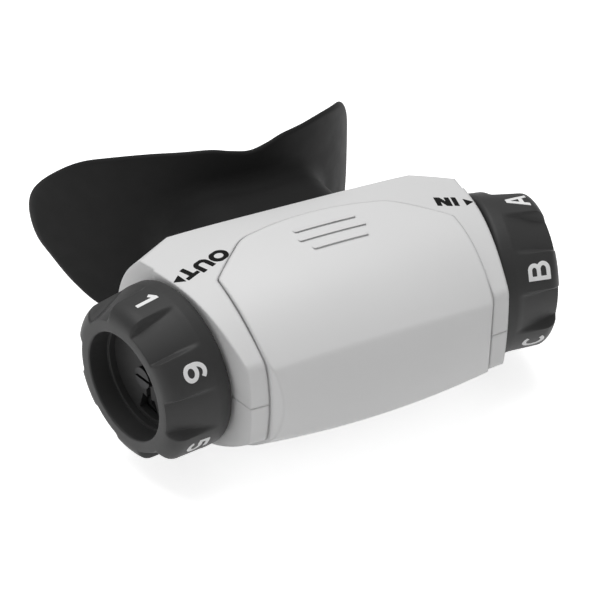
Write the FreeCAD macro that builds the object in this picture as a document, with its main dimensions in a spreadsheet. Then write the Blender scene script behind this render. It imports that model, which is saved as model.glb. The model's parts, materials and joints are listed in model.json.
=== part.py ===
import FreeCAD, Part
import Sketcher
import math
import os
import re

# Breathing trainer: a pale housing with a pull-off front unit, a black dial at each end
# and a soft mouthpiece behind. Lengths are millimetres, angles are degrees.
# Local working axes: X along the body, Y towards the user, Z up from the parting level.

V = FreeCAD.Vector
doc = FreeCAD.newDocument("BreathingTrainer")
dims = doc.addObject("Spreadsheet::Sheet", "Dims")

sizes = {
    # dials
    "dial_radius": 20.0,
    "dial_length": 14.85,
    "dial_front_radius": 18.4,
    "lip_round": 1.3,
    "cup_radius": 13.4,
    "cup_depth": 6.5,
    "ledge_width": 0.6,
    "ledge_clear": 0.12,
    "floor_thick": 2.0,
    "skirt_radius": 17.0,
    "click_count": 6,
    "grip_angle": 25.0,
    "grip_depth": 1.7,
    "grip_start": 3.2,
    "notch_radius": 1.2,
    "notch_depth": 0.7,
    "notch_height": 5.0,
    "slot_width": 1.7,
    "slot_start": 3.2,
    "fan_start": 6.5,
    "fan_reach": 11.6,
    "fan_angle": 40.0,
    "dial_cant": 13.2,
    "dial_reach": 41.06,
    "dial_forward": 1.45,
    "dial_gap": 1.2,
    "end_wall": 2.4,
    # fixed collar with its graduated holes
    "collar_radius": 15.6,
    "collar_wall": 1.7,
    "collar_slack": 0.06,
    "plate_thick": 2.0,
    "plate_gap": 0.45,
    "flange_radius": 18.0,
    "flange_thick": 1.9,
    "slot_slack": 0.05,
    "seat_thick": 1.2,
    "port_radius": 6.0,
    "passage_radius": 11.5,
    "passage_depth": 16.0,
    "boss_radius": 4.0,
    "boss_length": 1.0,
    "orifice_pitch": 8.8,
    "orifice_largest": 3.0,
    "orifice_step": 0.4,
    "seal_radius": 13.0,
    "seal_section": 0.7,
    "seal_groove_depth": 1.2,
    "seal_slack": 0.03,
    # spindle
    "spindle_radius": 2.0,
    "running_gap": 0.05,
    "press_gap": 0.01,
    "head_radius": 2.7,
    "head_height": 1.5,
    "head_gap": 0.08,
    "driver_slot_width": 0.8,
    "driver_slot_depth": 0.7,
    # click spring
    "band_thick": 0.4,
    "band_height": 2.6,
    "band_start": 1.0,
    "band_slack": 0.15,
    "band_angle": 310.0,
    "nib_radius": 0.55,
    # one-way flap
    "flap_radius": 7.2,
    "flap_thick": 0.9,
    "flap_lift": 0.15,
    "hinge_height": 8.6,
    "hinge_stand": 1.3,
    "knuckle_radius": 1.1,
    "knuckle_length": 6.8,
    "pin_radius": 0.55,
    "pin_overhang": 0.2,
    "ear_gap": 0.2,
    "ear_thick": 1.3,
    "ear_half_height": 1.5,
    "ear_stand": 2.7,
    # outer form of the body
    "crown_height": 23.3,
    "crown_drop": 3.0,
    "crown_span": 40.0,
    "crown_back": 2.0,
    "rear_edge": 20.4,
    "rear_edge_height": 20.2,
    "rear_edge_round": 1.0,
    "rear_middle": 24.2,
    "front_edge_round": 3.0,
    "frame_edge_height": 10.3,
    "frame_slope_power": 2.1,
    "frame_front": 26.2,
    "frame_bulge": 0.9,
    "frame_front_fall": 0.8,
    "frame_span": 46.0,
    "taper_radius": 23.5,
    "taper_slope": 0.25,
    "taper_centre": 1.0,
    "taper_inner": 10.0,
    "taper_back": 8.0,
    # front unit
    "unit_edge_height": 10.7,
    "unit_edge_fall": 1.4,
    "unit_slope_power": 2.5,
    "unit_front": 27.8,
    "unit_front_fall": 1.1,
    "unit_bulge": 2.5,
    "unit_bulge_fall": 0.7,
    "unit_proud": 0.25,
    "unit_half_width": 29.2,
    "unit_side_radius": 118.0,
    "waist_half_height": 28.0,
    "unit_shoulder": 31.3,
    "unit_span": 36.0,
    "unit_shoulder_back": -4.6,
    "unit_knee": 19.5,
    "unit_knee_back": 7.6,
    "unit_tail_back": 12.2,
    "unit_corner_round": 2.5,
    "unit_knee_round": 9.0,
    "unit_tail_round": 55.0,
    "unit_nose_round": 5.0,
    "unit_nose_back": 1.6,
    "unit_nose_lead": 7.1,
    "seam_gap": 0.3,
    "cover_wall": 2.0,
    "slide_gap": 0.3,
    "dock_face": 13.0,
    "core_height": 19.6,
    "core_drop": 2.2,
    "core_half_width": 33.0,
    "back_thick": 1.6,
    "back_gap": 0.15,
    "grip_ramp_height": 0.4,
    "grip_ramp_width": 1.6,
    "grip_ramp_back": 2.4,
    "grip_ramp_pitch": 4.0,
    "grip_ramp_corner": 0.5,
    # inside of the housing
    "core_wall": 2.0,
    "chamber_half_width": 29.0,
    "parting_gap": 0.1,
    "post_radius": 3.2,
    "front_post_x": 15.0,
    "front_post_y": -7.0,
    "rear_post_x": 26.2,
    "rear_post_y": 15.0,
    "screw_radius": 1.2,
    "screw_clearance": 0.2,
    "screw_head_radius": 2.3,
    "screw_head_height": 1.6,
    "screw_bite": 8.0,
    "screw_seat_depth": 9.0,
    "pilot_room": 1.0,
    # spigot for the mouthpiece
    "spigot_half_width": 21.4,
    "spigot_half_height": 13.0,
    "spigot_round": 12.0,
    "spigot_wall": 1.8,
    "spigot_end": 40.0,
    "spigot_root": 0.6,
    "chamber_break": 6.0,
    # electronics
    "board_width": 44.0,
    "board_height": 19.0,
    "board_thick": 1.2,
    "board_stand": 2.8,
    "battery_width": 33.0,
    "battery_height": 16.0,
    "battery_thick": 4.2,
    "battery_gap": 0.3,
    "sensor_width": 7.0,
    "sensor_thick": 2.2,
    "sensor_x": 9.0,
    "sensor_z": 4.0,
    "nozzle_radius": 1.0,
    "nozzle_length": 4.0,
    "nozzle_hole_gap": 0.3,
    "tap_radius": 1.6,
    "seal_hat_radius": 3.0,
    "seal_hat_depth": 1.2,
    "nozzle_seal_gap": 0.1,
    "port_seal_gap": 0.05,
    "socket_width": 7.6,
    "socket_height": 2.8,
    "socket_wall": 0.4,
    "socket_x": -10.0,
    "socket_hole_gap": 0.4,
    "board_post_x": 19.4,
    "board_post_z": 7.0,
    "back_post_x": 24.4,
    "back_post_z": 11.0,
    "small_post_radius": 2.2,
    "small_screw_radius": 0.8,
    "small_head_radius": 1.5,
    "small_head_height": 0.8,
    "small_screw_length": 5.0,
    "small_head_recess": 0.9,
    "small_screw_gap": 0.15,
    # mouthpiece
    "neck_start": 24.6,
    "neck_wall": 2.0,
    "neck_fit": 0.3,
    "shield_front": 41.9,
    "shield_radius": 35.0,
    "shield_sweep_start": 30.0,
    "shield_sweep_radius": 48.0,
    "shield_thick": 1.7,
    "shield_span": 52.0,
    "mouth_half_width": 17.0,
    "mouth_half_height": 7.5,
    "mouth_round": 7.0,
    "lip_tube_wall": 2.4,
    "flange_front": 52.0,
    "flange_span": 30.0,
    "flange_curve": 22.5,
    "gum_flange_thick": 1.8,
    "gum_flange_half_width": 27.0,
    "gum_flange_half_height": 11.5,
    "gum_flange_round": 11.0,
    "lug_inner": 12.5,
    "lug_outer": 24.0,
    "lug_end": 71.0,
    "lug_thick": 4.0,
    # stance
    "seat_height": 26.238,
    "stance_depth": 25.328,
}

row = 0
for name, value in sizes.items():
    row = row + 1
    dims.set("A%d" % row, name)
    dims.set("B%d" % row, str(value))
    dims.setAlias("B%d" % row, name)
doc.recompute()

beyond = 100.0  # clear of every face, for tools that cut right through
touching = 0.002  # a point nearer than this lies on a face


def size(name):
    """One driving dimension, read from the sheet."""
    return float(dims.get(name))


def bound(text):
    """Point every size named in an expression at its cell in the sheet."""
    def cell(word):
        return "Dims." + word.group() if word.group() in sizes else word.group()
    return re.sub(r"[a-z_]+", cell, text)


# Stations along a dial's axis, from the plane of its back, outwards
floor_front = "dial_length - cup_depth"
floor_back = "dial_length - cup_depth - floor_thick"
plate_front = "dial_length - cup_depth - floor_thick - plate_gap"
plate_back = "dial_length - cup_depth - floor_thick - plate_gap - plate_thick"
flange_face = "-(dial_gap + end_wall + slot_slack)"
collar_end = "-(dial_gap + end_wall + slot_slack + flange_thick)"


def end_frame(side):
    """Placement of one end: local Z points out along the dial's axis and local Y up."""
    cant = math.radians(size("dial_cant"))
    out = V(side * math.cos(cant), -math.sin(cant), 0)
    up = V(0, 0, 1)
    centre = V(side * size("dial_reach"), -size("dial_forward"), 0)
    return FreeCAD.Placement(centre, FreeCAD.Rotation(up.cross(out), up, out, "ZYX"))


def shift(x, y, z):
    return FreeCAD.Placement(V(x, y, z), FreeCAD.Rotation())


stance = shift(0, -size("stance_depth"), size("seat_height"))


def origin_plane(body, role):
    return next(item for item in body.Origin.OriginFeatures if item.Role == role)


def new_body(name, placement):
    body = doc.addObject("PartDesign::Body", name)
    body.Label = name
    body.Placement = stance.multiply(placement)
    return body


def new_sketch(body, role, name, height=None):
    sketch = body.newObject("Sketcher::SketchObject", name)
    sketch.AttachmentSupport = (origin_plane(body, role), [""])
    sketch.MapMode = "FlatFace"
    if height:
        sketch.setExpression("AttachmentOffset.Base.z", bound(height))
    return sketch


def pin_point(sketch, index, point, across, along, tag):
    """Hold a point of a sketch at two expressions, measured from the origin."""
    for kind, text in (("DistanceX", across), ("DistanceY", along)):
        number = sketch.addConstraint(Sketcher.Constraint(kind, -1, 1, index, point, 1.0))
        sketch.renameConstraint(number, "%s%s" % (kind, tag))
        sketch.setExpression("Constraints.%s%s" % (kind, tag), bound(text))


def polygon(body, role, name, corners, height=None):
    sketch = new_sketch(body, role, name, height)
    count = len(corners)
    for i in range(count):
        turn = 2 * math.pi * i / count
        onward = 2 * math.pi * (i + 1) / count
        start = V(10 + 5 * math.cos(turn), 5 * math.sin(turn), 0)
        stop = V(10 + 5 * math.cos(onward), 5 * math.sin(onward), 0)
        sketch.addGeometry(Part.LineSegment(start, stop), False)
    for i in range(count):
        sketch.addConstraint(Sketcher.Constraint("Coincident", i, 2, (i + 1) % count, 1))
    for i, (across, along) in enumerate(corners):
        pin_point(sketch, i, 1, across, along, "Corner%d" % i)
    doc.recompute()
    return sketch


def rectangle(body, role, name, low_x, low_y, high_x, high_y, height=None):
    corners = [(low_x, low_y), (high_x, low_y), (high_x, high_y), (low_x, high_y)]
    return polygon(body, role, name, corners, height)


def circles(body, role, name, rounds, height=None):
    sketch = new_sketch(body, role, name, height)
    for i, (across, along, radius) in enumerate(rounds):
        sketch.addGeometry(Part.Circle(V(3 * i + 1, 1, 0), V(0, 0, 1), 1.0), False)
        pin_point(sketch, i, 3, across, along, "Centre%d" % i)
        number = sketch.addConstraint(Sketcher.Constraint("Radius", i, 1.0))
        sketch.renameConstraint(number, "Radius%d" % i)
        sketch.setExpression("Constraints.Radius%d" % i, bound(radius))
    doc.recompute()
    return sketch


def turned(body, kind, name, sketch, axis="V_Axis", angle=None):
    """A Revolution or a Groove about an axis of its sketch."""
    feature = body.newObject("PartDesign::" + kind, name)
    feature.Profile = sketch
    feature.ReferenceAxis = (sketch, [axis])
    feature.Angle = 360
    if angle:
        feature.setExpression("Angle", bound(angle))
        feature.Midplane = True
    doc.recompute()
    return feature


def raised(body, kind, name, sketch, length, both_ways=False, reverse=False):
    """A Pad or a Pocket of a given length."""
    feature = body.newObject("PartDesign::" + kind, name)
    feature.Profile = sketch
    feature.Midplane = both_ways
    feature.Reversed = reverse
    feature.setExpression("Length", bound(length))
    doc.recompute()
    return feature


def patterned(body, name, feature, count):
    """Repeat a feature round the local Z axis."""
    pattern = body.newObject("PartDesign::PolarPattern", name)
    pattern.Originals = [feature]
    axis = next(item for item in body.Origin.OriginFeatures if item.Role == "Z_Axis")
    pattern.Axis = (axis, [""])
    pattern.Angle = 360
    pattern.setExpression("Occurrences", bound(count))
    body.Tip = pattern
    doc.recompute()
    return pattern


def round_edges(shape, radius, height):
    """Names of the circular edges of one radius at one height on the local axis."""
    names = []
    for i, edge in enumerate(shape.Edges):
        curve = edge.Curve
        if curve.TypeId != "Part::GeomCircle":
            continue
        if abs(curve.Radius - radius) < 1e-3 and abs(curve.Center.z - height) < 1e-3:
            names.append("Edge%d" % (i + 1))
    return names


# Dial: a cup on a ported floor, with an open skirt behind. A ledge at the foot of the
# cup's wall stops a plug or an adaptor clear of the spindle's head.

def make_dial(name, side):
    body = new_body(name, end_frame(side))
    bore = "spindle_radius + running_gap"
    ledge = "cup_radius - ledge_width"
    ledge_top = floor_front + " + head_gap + head_height + ledge_clear"
    profile = polygon(body, "XZ_Plane", name + "_profile", [
        (bore, floor_back),
        (bore, floor_front),
        (ledge, floor_front),
        (ledge, ledge_top),
        ("cup_radius", ledge_top),
        ("cup_radius", "dial_length"),
        ("dial_front_radius", "dial_length"),
        ("dial_radius", "grip_start"),
        ("dial_radius", "0"),
        ("skirt_radius", "0"),
        ("skirt_radius", floor_back)])
    cup = turned(body, "Revolution", name + "_cup", profile)
    lip = body.newObject("PartDesign::Fillet", name + "_lip")
    lip.Base = (cup, round_edges(cup.Shape, size("dial_front_radius"), size("dial_length")))
    lip.setExpression("Radius", bound("lip_round"))
    doc.recompute()
    recess_profile = polygon(body, "XZ_Plane", name + "_grip_profile", [
        ("dial_radius", "grip_start"),
        ("dial_front_radius - grip_depth", "dial_length + 1"),
        ("dial_radius + 3", "dial_length + 1"),
        ("dial_radius + 3", "grip_start")])
    recess = turned(body, "Groove", name + "_grip", recess_profile, angle="grip_angle")
    patterned(body, name + "_grips", recess, "click_count")
    notch_sketch = circles(body, "XY_Plane", name + "_notch_outline", [
        ("0", "skirt_radius + notch_depth - notch_radius", "notch_radius")])
    notch = raised(body, "Pocket", name + "_notch", notch_sketch, "notch_height", reverse=True)
    patterned(body, name + "_notches", notch, "click_count")
    slot_sketch = rectangle(body, "YZ_Plane", name + "_slot_outline",
                            "-fan_start - 0.4", floor_back + " - 0.2",
                            "-slot_start", floor_front + " + 0.2")
    raised(body, "Pocket", name + "_slot", slot_sketch, "slot_width", both_ways=True)
    fan_sketch = rectangle(body, "YZ_Plane", name + "_fan_outline",
                           "-fan_reach", floor_back + " - 0.2",
                           "-fan_start", floor_front + " + 0.2")
    turned(body, "Groove", name + "_fan", fan_sketch, angle="fan_angle")
    return body


# Collar: the fixed tube that a dial turns on, with the flap's seat at its inner end

def make_valve_plate(name, side):
    body = new_body(name, end_frame(side))
    bore = "spindle_radius + press_gap"
    groove_in = "seal_radius - seal_section - seal_slack"
    groove_out = "seal_radius + seal_section + seal_slack"
    groove_floor = plate_front + " - seal_groove_depth"
    inside = "collar_radius - collar_wall"
    seat = collar_end + " + seat_thick"
    profile = polygon(body, "XZ_Plane", name + "_profile", [
        (bore, plate_front),
        (groove_in, plate_front),
        (groove_in, groove_floor),
        (groove_out, groove_floor),
        (groove_out, plate_front),
        ("collar_radius", plate_front),
        ("collar_radius", flange_face),
        ("flange_radius", flange_face),
        ("flange_radius", collar_end),
        ("port_radius", collar_end),
        ("port_radius", seat),
        (inside, seat),
        (inside, plate_back),
        ("boss_radius", plate_back),
        ("boss_radius", plate_back + " - boss_length"),
        (bore, plate_back + " - boss_length")])
    turned(body, "Revolution", name + "_collar", profile)
    rounds = []
    for i in range(int(size("click_count"))):
        turn = "-90 - %d * 360 / click_count" % i
        radius = "orifice_largest - %d * orifice_step" % i
        rounds.append(("orifice_pitch * cos(%s)" % turn, "orifice_pitch * sin(%s)" % turn, radius))
    holes = circles(body, "XY_Plane", name + "_orifice_outline", rounds, plate_front)
    raised(body, "Pocket", name + "_orifices", holes, "plate_thick + 0.1")
    # ears for the flap's pin: outside the seat on the way out, inside it on the way in
    face = seat if side < 0 else collar_end
    for sign in (-1, 1):
        near = "%d * (knuckle_length / 2 + ear_gap)" % sign
        far = "%d * (knuckle_length / 2 + ear_gap + ear_thick)" % sign
        tag = "_ear_left" if sign < 0 else "_ear_right"
        outline = rectangle(body, "XY_Plane", name + tag + "_outline",
                            near, "hinge_height - ear_half_height",
                            far, "hinge_height + ear_half_height", face)
        raised(body, "Pad", name + tag, outline, "ear_stand", reverse=side > 0)
    stand = " + hinge_stand" if side < 0 else " - hinge_stand"
    pin_sketch = circles(body, "YZ_Plane", name + "_pin_outline", [
        ("hinge_height", face + stand, "pin_radius + press_gap")])
    raised(body, "Pocket", name + "_pin_holes", pin_sketch,
           "knuckle_length + 2 * (ear_gap + ear_thick) + 0.2", both_ways=True)
    return body


def hinge_frame(side):
    """The flap's own frame: its pin lies along local X and it opens towards local Z."""
    reach = size("dial_gap") + size("end_wall") + size("slot_slack") + size("flange_thick")
    if side < 0:
        local = shift(0, size("hinge_height"), size("seat_thick") - reach + size("hinge_stand"))
    else:
        back = FreeCAD.Rotation(V(0, 1, 0), 180)
        local = FreeCAD.Placement(V(0, size("hinge_height"), -reach - size("hinge_stand")), back)
    return end_frame(side).multiply(local)


def make_flap(name, side):
    body = new_body(name, hinge_frame(side))
    under = "flap_lift - hinge_stand"
    disc_sketch = circles(body, "XY_Plane", name + "_disc_outline", [
        ("0", "-hinge_height", "flap_radius")], under)
    raised(body, "Pad", name + "_disc", disc_sketch, "flap_thick")
    tongue_sketch = rectangle(body, "XY_Plane", name + "_tongue_outline",
                              "-knuckle_length / 2", "-hinge_height + flap_radius / 2",
                              "knuckle_length / 2", "-knuckle_radius / 2", under)
    raised(body, "Pad", name + "_tongue", tongue_sketch, "flap_thick")
    knuckle_sketch = circles(body, "YZ_Plane", name + "_knuckle_outline", [
        ("0", "0", "knuckle_radius")])
    raised(body, "Pad", name + "_knuckle", knuckle_sketch, "knuckle_length", both_ways=True)
    bore_sketch = circles(body, "YZ_Plane", name + "_bore_outline", [
        ("0", "0", "pin_radius + running_gap")])
    raised(body, "Pocket", name + "_bore", bore_sketch, "knuckle_length + 0.2", both_ways=True)
    return body


def make_flap_pin(name, side):
    pin = doc.addObject("Part::Cylinder", name)
    pin.Label = name
    pin.setExpression("Radius", bound("pin_radius"))
    pin.setExpression("Height", bound("knuckle_length + 2 * (ear_gap + ear_thick + pin_overhang)"))
    along = FreeCAD.Rotation(V(0, 0, 1), V(1, 0, 0))
    half = size("knuckle_length") / 2 + size("ear_gap") + size("ear_thick") + size("pin_overhang")
    local = FreeCAD.Placement(V(-half, 0, 0), along)
    pin.Placement = stance.multiply(hinge_frame(side)).multiply(local)
    return pin


def make_spindle(name, side):
    body = new_body(name, end_frame(side))
    under = floor_front + " + head_gap"
    top = floor_front + " + head_gap + head_height"
    tip = plate_back + " - boss_length"
    profile = polygon(body, "XZ_Plane", name + "_profile", [
        ("0", tip),
        ("spindle_radius", tip),
        ("spindle_radius", under),
        ("head_radius", under),
        ("head_radius", top),
        ("0", top)])
    turned(body, "Revolution", name + "_shank", profile)
    slot = rectangle(body, "YZ_Plane", name + "_slot_outline",
                     "-driver_slot_width / 2", top + " - driver_slot_depth",
                     "driver_slot_width / 2", top + " + 1")
    raised(body, "Pocket", name + "_slot", slot, "2 * head_radius + 1", both_ways=True)
    return body


def make_seal_ring(name, side):
    """A square-cut ring that stands proud of its groove."""
    body = new_body(name, end_frame(side))
    low = plate_front + " - seal_groove_depth + seal_slack"
    section = rectangle(body, "XZ_Plane", name + "_section", "seal_radius - seal_section", low,
                        "seal_radius + seal_section", low + " + 2 * seal_section")
    turned(body, "Revolution", name + "_turn", section)
    return body


def make_click_spring(name, side):
    """A C-shaped band round the collar, with a nib that reaches into the dial's notches."""
    inner = size("collar_radius") + size("band_slack")
    outer = inner + size("band_thick")
    height = size("band_height")
    band = Part.makeCylinder(outer, height, V(), V(0, 0, 1), size("band_angle"))
    nib = Part.makeCylinder(size("nib_radius"), height, V(outer, 0, 0))
    nib.rotate(V(), V(0, 0, 1), size("band_angle") / 2)
    bore = Part.makeCylinder(inner, height + 2, V(0, 0, -1))
    shape = band.fuse(nib).cut(bore).removeSplitter()
    shape.rotate(V(), V(0, 0, 1), 90 - size("band_angle") / 2)
    spring = doc.addObject("Part::Feature", name)
    spring.Label = name
    spring.Shape = shape
    spring.Placement = stance.multiply(end_frame(side)).multiply(shift(0, 0, size("band_start")))
    return spring


# Outer form of the body: level sections lofted along X

def frame_front_line(x):
    """Depth, height, bulge and slope power of the frame's front edge at one station."""
    fall = size("frame_front_fall") * (x / size("unit_half_width")) ** 2
    edge = -size("frame_front") + fall
    return edge, size("frame_edge_height"), size("frame_bulge"), size("frame_slope_power")


def unit_front_line(x):
    """The same four values for the front unit."""
    share = (x / size("unit_half_width")) ** 2
    edge = -size("unit_front") + size("unit_front_fall") * share
    height = size("unit_edge_height") - size("unit_edge_fall") * share
    return edge, height, size("unit_bulge") - size("unit_bulge_fall") * share, size("unit_slope_power")


def crown_at(x):
    return size("crown_height") - size("crown_drop") * (x / size("crown_span")) ** 2


def body_section(x, front_line, inset):
    """Closed section at one station: rear arc, crowned top, bulged front, crowned bottom."""
    crown = crown_at(x) - inset
    crown_y = size("crown_back")
    rear_y = size("rear_edge") - inset
    rear_z = min(size("rear_edge_height") - inset, crown - 0.3)
    front_y, front_z, bulge, power = front_line(x)
    front_y = front_y + inset
    front_z = front_z - inset / 2
    top = [V(x, rear_y, rear_z)]
    middle_y = (rear_y + crown_y) / 2
    top.append(V(x, middle_y, crown - (crown - rear_z) / 4))
    steps = 5
    for i in range(steps + 1):
        share = i / steps
        fall = (crown - front_z) * share ** power
        top.append(V(x, crown_y + (front_y - crown_y) * share, crown - fall))
    low = [V(p.x, p.y, -p.z) for p in reversed(top)]
    over = Part.BSplineCurve()
    over.interpolate(top)
    under = Part.BSplineCurve()
    under.interpolate(low)
    front = Part.Arc(top[-1], V(x, front_y - bulge, 0), low[0])
    rear = Part.Arc(low[-1], V(x, size("rear_middle") - inset, 0), top[0])
    return Part.Wire([over.toShape(), front.toShape(), under.toShape(), rear.toShape()])


def body_form(front_line, half_length, inset):
    stations = [half_length * share / 2 for share in range(-2, 3)]
    wires = [body_section(x, front_line, inset) for x in stations]
    return Part.makeLoft(wires, True, False)


def long_edges(shape, at_front):
    """The edges that run the length of a form, at its front or at its rear."""
    found = []
    for edge in shape.Edges:
        middle = edge.valueAt((edge.FirstParameter + edge.LastParameter) / 2)
        lengthways = edge.BoundBox.XLength > shape.BoundBox.XLength / 2
        if lengthways and (middle.y < 0) == at_front:
            found.append(edge)
    return found


def block(low, high):
    return Part.makeBox(high[0] - low[0], high[1] - low[1], high[2] - low[2], V(*low))


def rounded_outline(points, radii):
    """A closed outline of straight runs with a tangent arc of its own radius at each corner."""
    edges = []
    count = len(points)
    starts = []
    stops = []
    arcs = []
    for i in range(count):
        here = points[i]
        before = (points[i - 1] - here).normalize()
        after = (points[(i + 1) % count] - here).normalize()
        if radii[i] == 0:
            starts.append(here)
            stops.append(here)
            arcs.append(None)
            continue
        half = before.getAngle(after) / 2
        cut = radii[i] / math.tan(half)
        bisector = (before + after).normalize()
        centre = here + bisector * (radii[i] / math.sin(half))
        starts.append(here + before * cut)
        stops.append(here + after * cut)
        arcs.append(Part.Arc(starts[i], centre - bisector * radii[i], stops[i]).toShape())
    for i in range(count):
        if arcs[i]:
            edges.append(arcs[i])
        onward = starts[(i + 1) % count]
        if (onward - stops[i]).Length > 1e-6:
            edges.append(Part.LineSegment(stops[i], onward).toShape())
    return Part.Wire(edges)


def unit_plan(grow, rounded_nose):
    """The front unit's outline from above, as an upright prism."""
    shoulder = size("unit_shoulder") + grow
    half = [V(0, size("unit_tail_back") + grow, -beyond),
            V(size("unit_knee") + grow, size("unit_knee_back") + grow, -beyond),
            V(shoulder, size("unit_shoulder_back") + grow, -beyond)]
    radii = [size("unit_tail_round"), size("unit_knee_round"), size("unit_corner_round")]
    if rounded_nose:
        nose = size("unit_half_width") + grow
        corner = -size("unit_front") - grow + size("unit_nose_back")
        half.append(V(shoulder, -size("unit_front") / 2, -beyond))
        half.append(V(nose, corner, -beyond))
        half.append(V(nose - size("unit_nose_round"), corner - size("unit_nose_lead"), -beyond))
        radii = radii + [0, size("unit_nose_round"), 0]
    else:
        half.append(V(shoulder, -beyond, -beyond))
        radii = radii + [0]
    other = [V(-p.x, p.y, p.z) for p in reversed(half[1:])]
    outline = rounded_outline(half + other, radii + list(reversed(radii[1:])))
    return Part.Face(outline).extrude(V(0, 0, 2 * beyond))


def unit_front_view(grow):
    """The front unit's outline from the front, waisted at mid height, as a prism along Y."""
    waist = size("unit_half_width") + grow
    reach = size("waist_half_height")
    radius = size("unit_side_radius")
    edge = waist + radius - math.sqrt(radius ** 2 - reach ** 2)
    right = Part.Arc(V(edge, -beyond, -reach), V(waist, -beyond, 0), V(edge, -beyond, reach))
    left = Part.Arc(V(-edge, -beyond, reach), V(-waist, -beyond, 0), V(-edge, -beyond, -reach))
    top = Part.LineSegment(V(edge, -beyond, reach), V(-edge, -beyond, reach))
    low = Part.LineSegment(V(-edge, -beyond, -reach), V(edge, -beyond, -reach))
    outline = Part.Wire([right.toShape(), top.toShape(), left.toShape(), low.toShape()])
    return Part.Face(outline).extrude(V(0, 2 * beyond, 0))


def arch(height, start, stop):
    """The core's section, crowned above and below, as a prism along Y."""
    reach = size("unit_span")
    side = height - size("core_drop") * (reach / size("unit_shoulder")) ** 2
    top = Part.Arc(V(-reach, start, side), V(0, start, height), V(reach, start, side))
    low = Part.Arc(V(reach, start, -side), V(0, start, -height), V(-reach, start, -side))
    right = Part.LineSegment(V(reach, start, side), V(reach, start, -side))
    left = Part.LineSegment(V(-reach, start, -side), V(-reach, start, side))
    outline = Part.Wire([top.toShape(), right.toShape(), low.toShape(), left.toShape()])
    return Part.Face(outline).extrude(V(0, stop - start, 0))


def end_solid(shape, side):
    """Move a solid built in an end's local frame to its place in the working axes."""
    placed = shape.copy()
    placed.Placement = end_frame(side).multiply(placed.Placement)
    return placed


def oval_prism(half_width, half_height, corner, start, stop):
    points = [V(half_width, start, half_height), V(-half_width, start, half_height),
              V(-half_width, start, -half_height), V(half_width, start, -half_height)]
    outline = rounded_outline(points, [corner] * 4)
    return Part.Face(outline).extrude(V(0, stop - start, 0))


def spigot_prism(inset, start, stop):
    return oval_prism(size("spigot_half_width") - inset, size("spigot_half_height") - inset,
                      size("spigot_round") - inset, start, stop)


def housing_screw_places():
    front = [V(sign * size("front_post_x"), size("front_post_y"), 0) for sign in (-1, 1)]
    rear = [V(sign * size("rear_post_x"), size("rear_post_y"), 0) for sign in (-1, 1)]
    return front + rear


def housing_form():
    """The housing's outside, before the front unit's bay is taken out of it."""
    outer = body_form(frame_front_line, size("frame_span"), 0)
    outer = outer.makeFillet(size("front_edge_round"), long_edges(outer, True))
    outer = outer.makeFillet(size("rear_edge_round"), long_edges(outer, False))
    # canted ends, with the rear corners drawn in to a round
    face = -size("dial_gap")
    for side in (-1, 1):
        keep = Part.makeCylinder(beyond, 2 * beyond, V(0, 0, face - 2 * beyond))
        outer = outer.common(end_solid(keep, side))
        wide = size("taper_radius") + size("taper_slope") * beyond
        cone = Part.makeCone(wide, size("taper_radius"), beyond, V(0, 0, face - beyond))
        cone = end_solid(cone, side)
        start = end_frame(side).multVec(V(0, 0, face))
        cone.translate(V(0, size("taper_centre") - start.y, 0))
        near = side * size("taper_inner")
        corner = block((min(near, side * beyond), size("taper_back"), -beyond),
                       (max(near, side * beyond), beyond, beyond))
        outer = outer.cut(corner.cut(cone))
    return outer


def bay(grow):
    """The space that the front unit takes up, from above and from the front."""
    return unit_plan(grow, False).common(unit_front_view(grow))


def core_form(clearance, wall):
    """The housing's middle part, that the front unit's cheeks slide over."""
    inset = size("cover_wall") + clearance + wall
    height = size("core_height") - wall
    form = arch(height, -size("dock_face") + wall, beyond)
    return form.common(body_form(unit_front_line, size("unit_span"), inset))


def disc_cut(side, radius, start, stop):
    tool = Part.makeCylinder(radius, stop - start, V(0, 0, start))
    return end_solid(tool, side)


def upright(radius, place, low, high):
    return Part.makeCylinder(radius, high - low, V(place.x, place.y, low))


def lengthwise(radius, x, z, start, stop):
    """A cylinder along Y."""
    return Part.makeCylinder(radius, stop - start, V(x, start, z), V(0, 1, 0))


def feature(name, shape):
    item = doc.addObject("Part::Feature", name)
    item.Label = name
    item.Shape = shape
    item.Placement = stance
    return item


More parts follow.
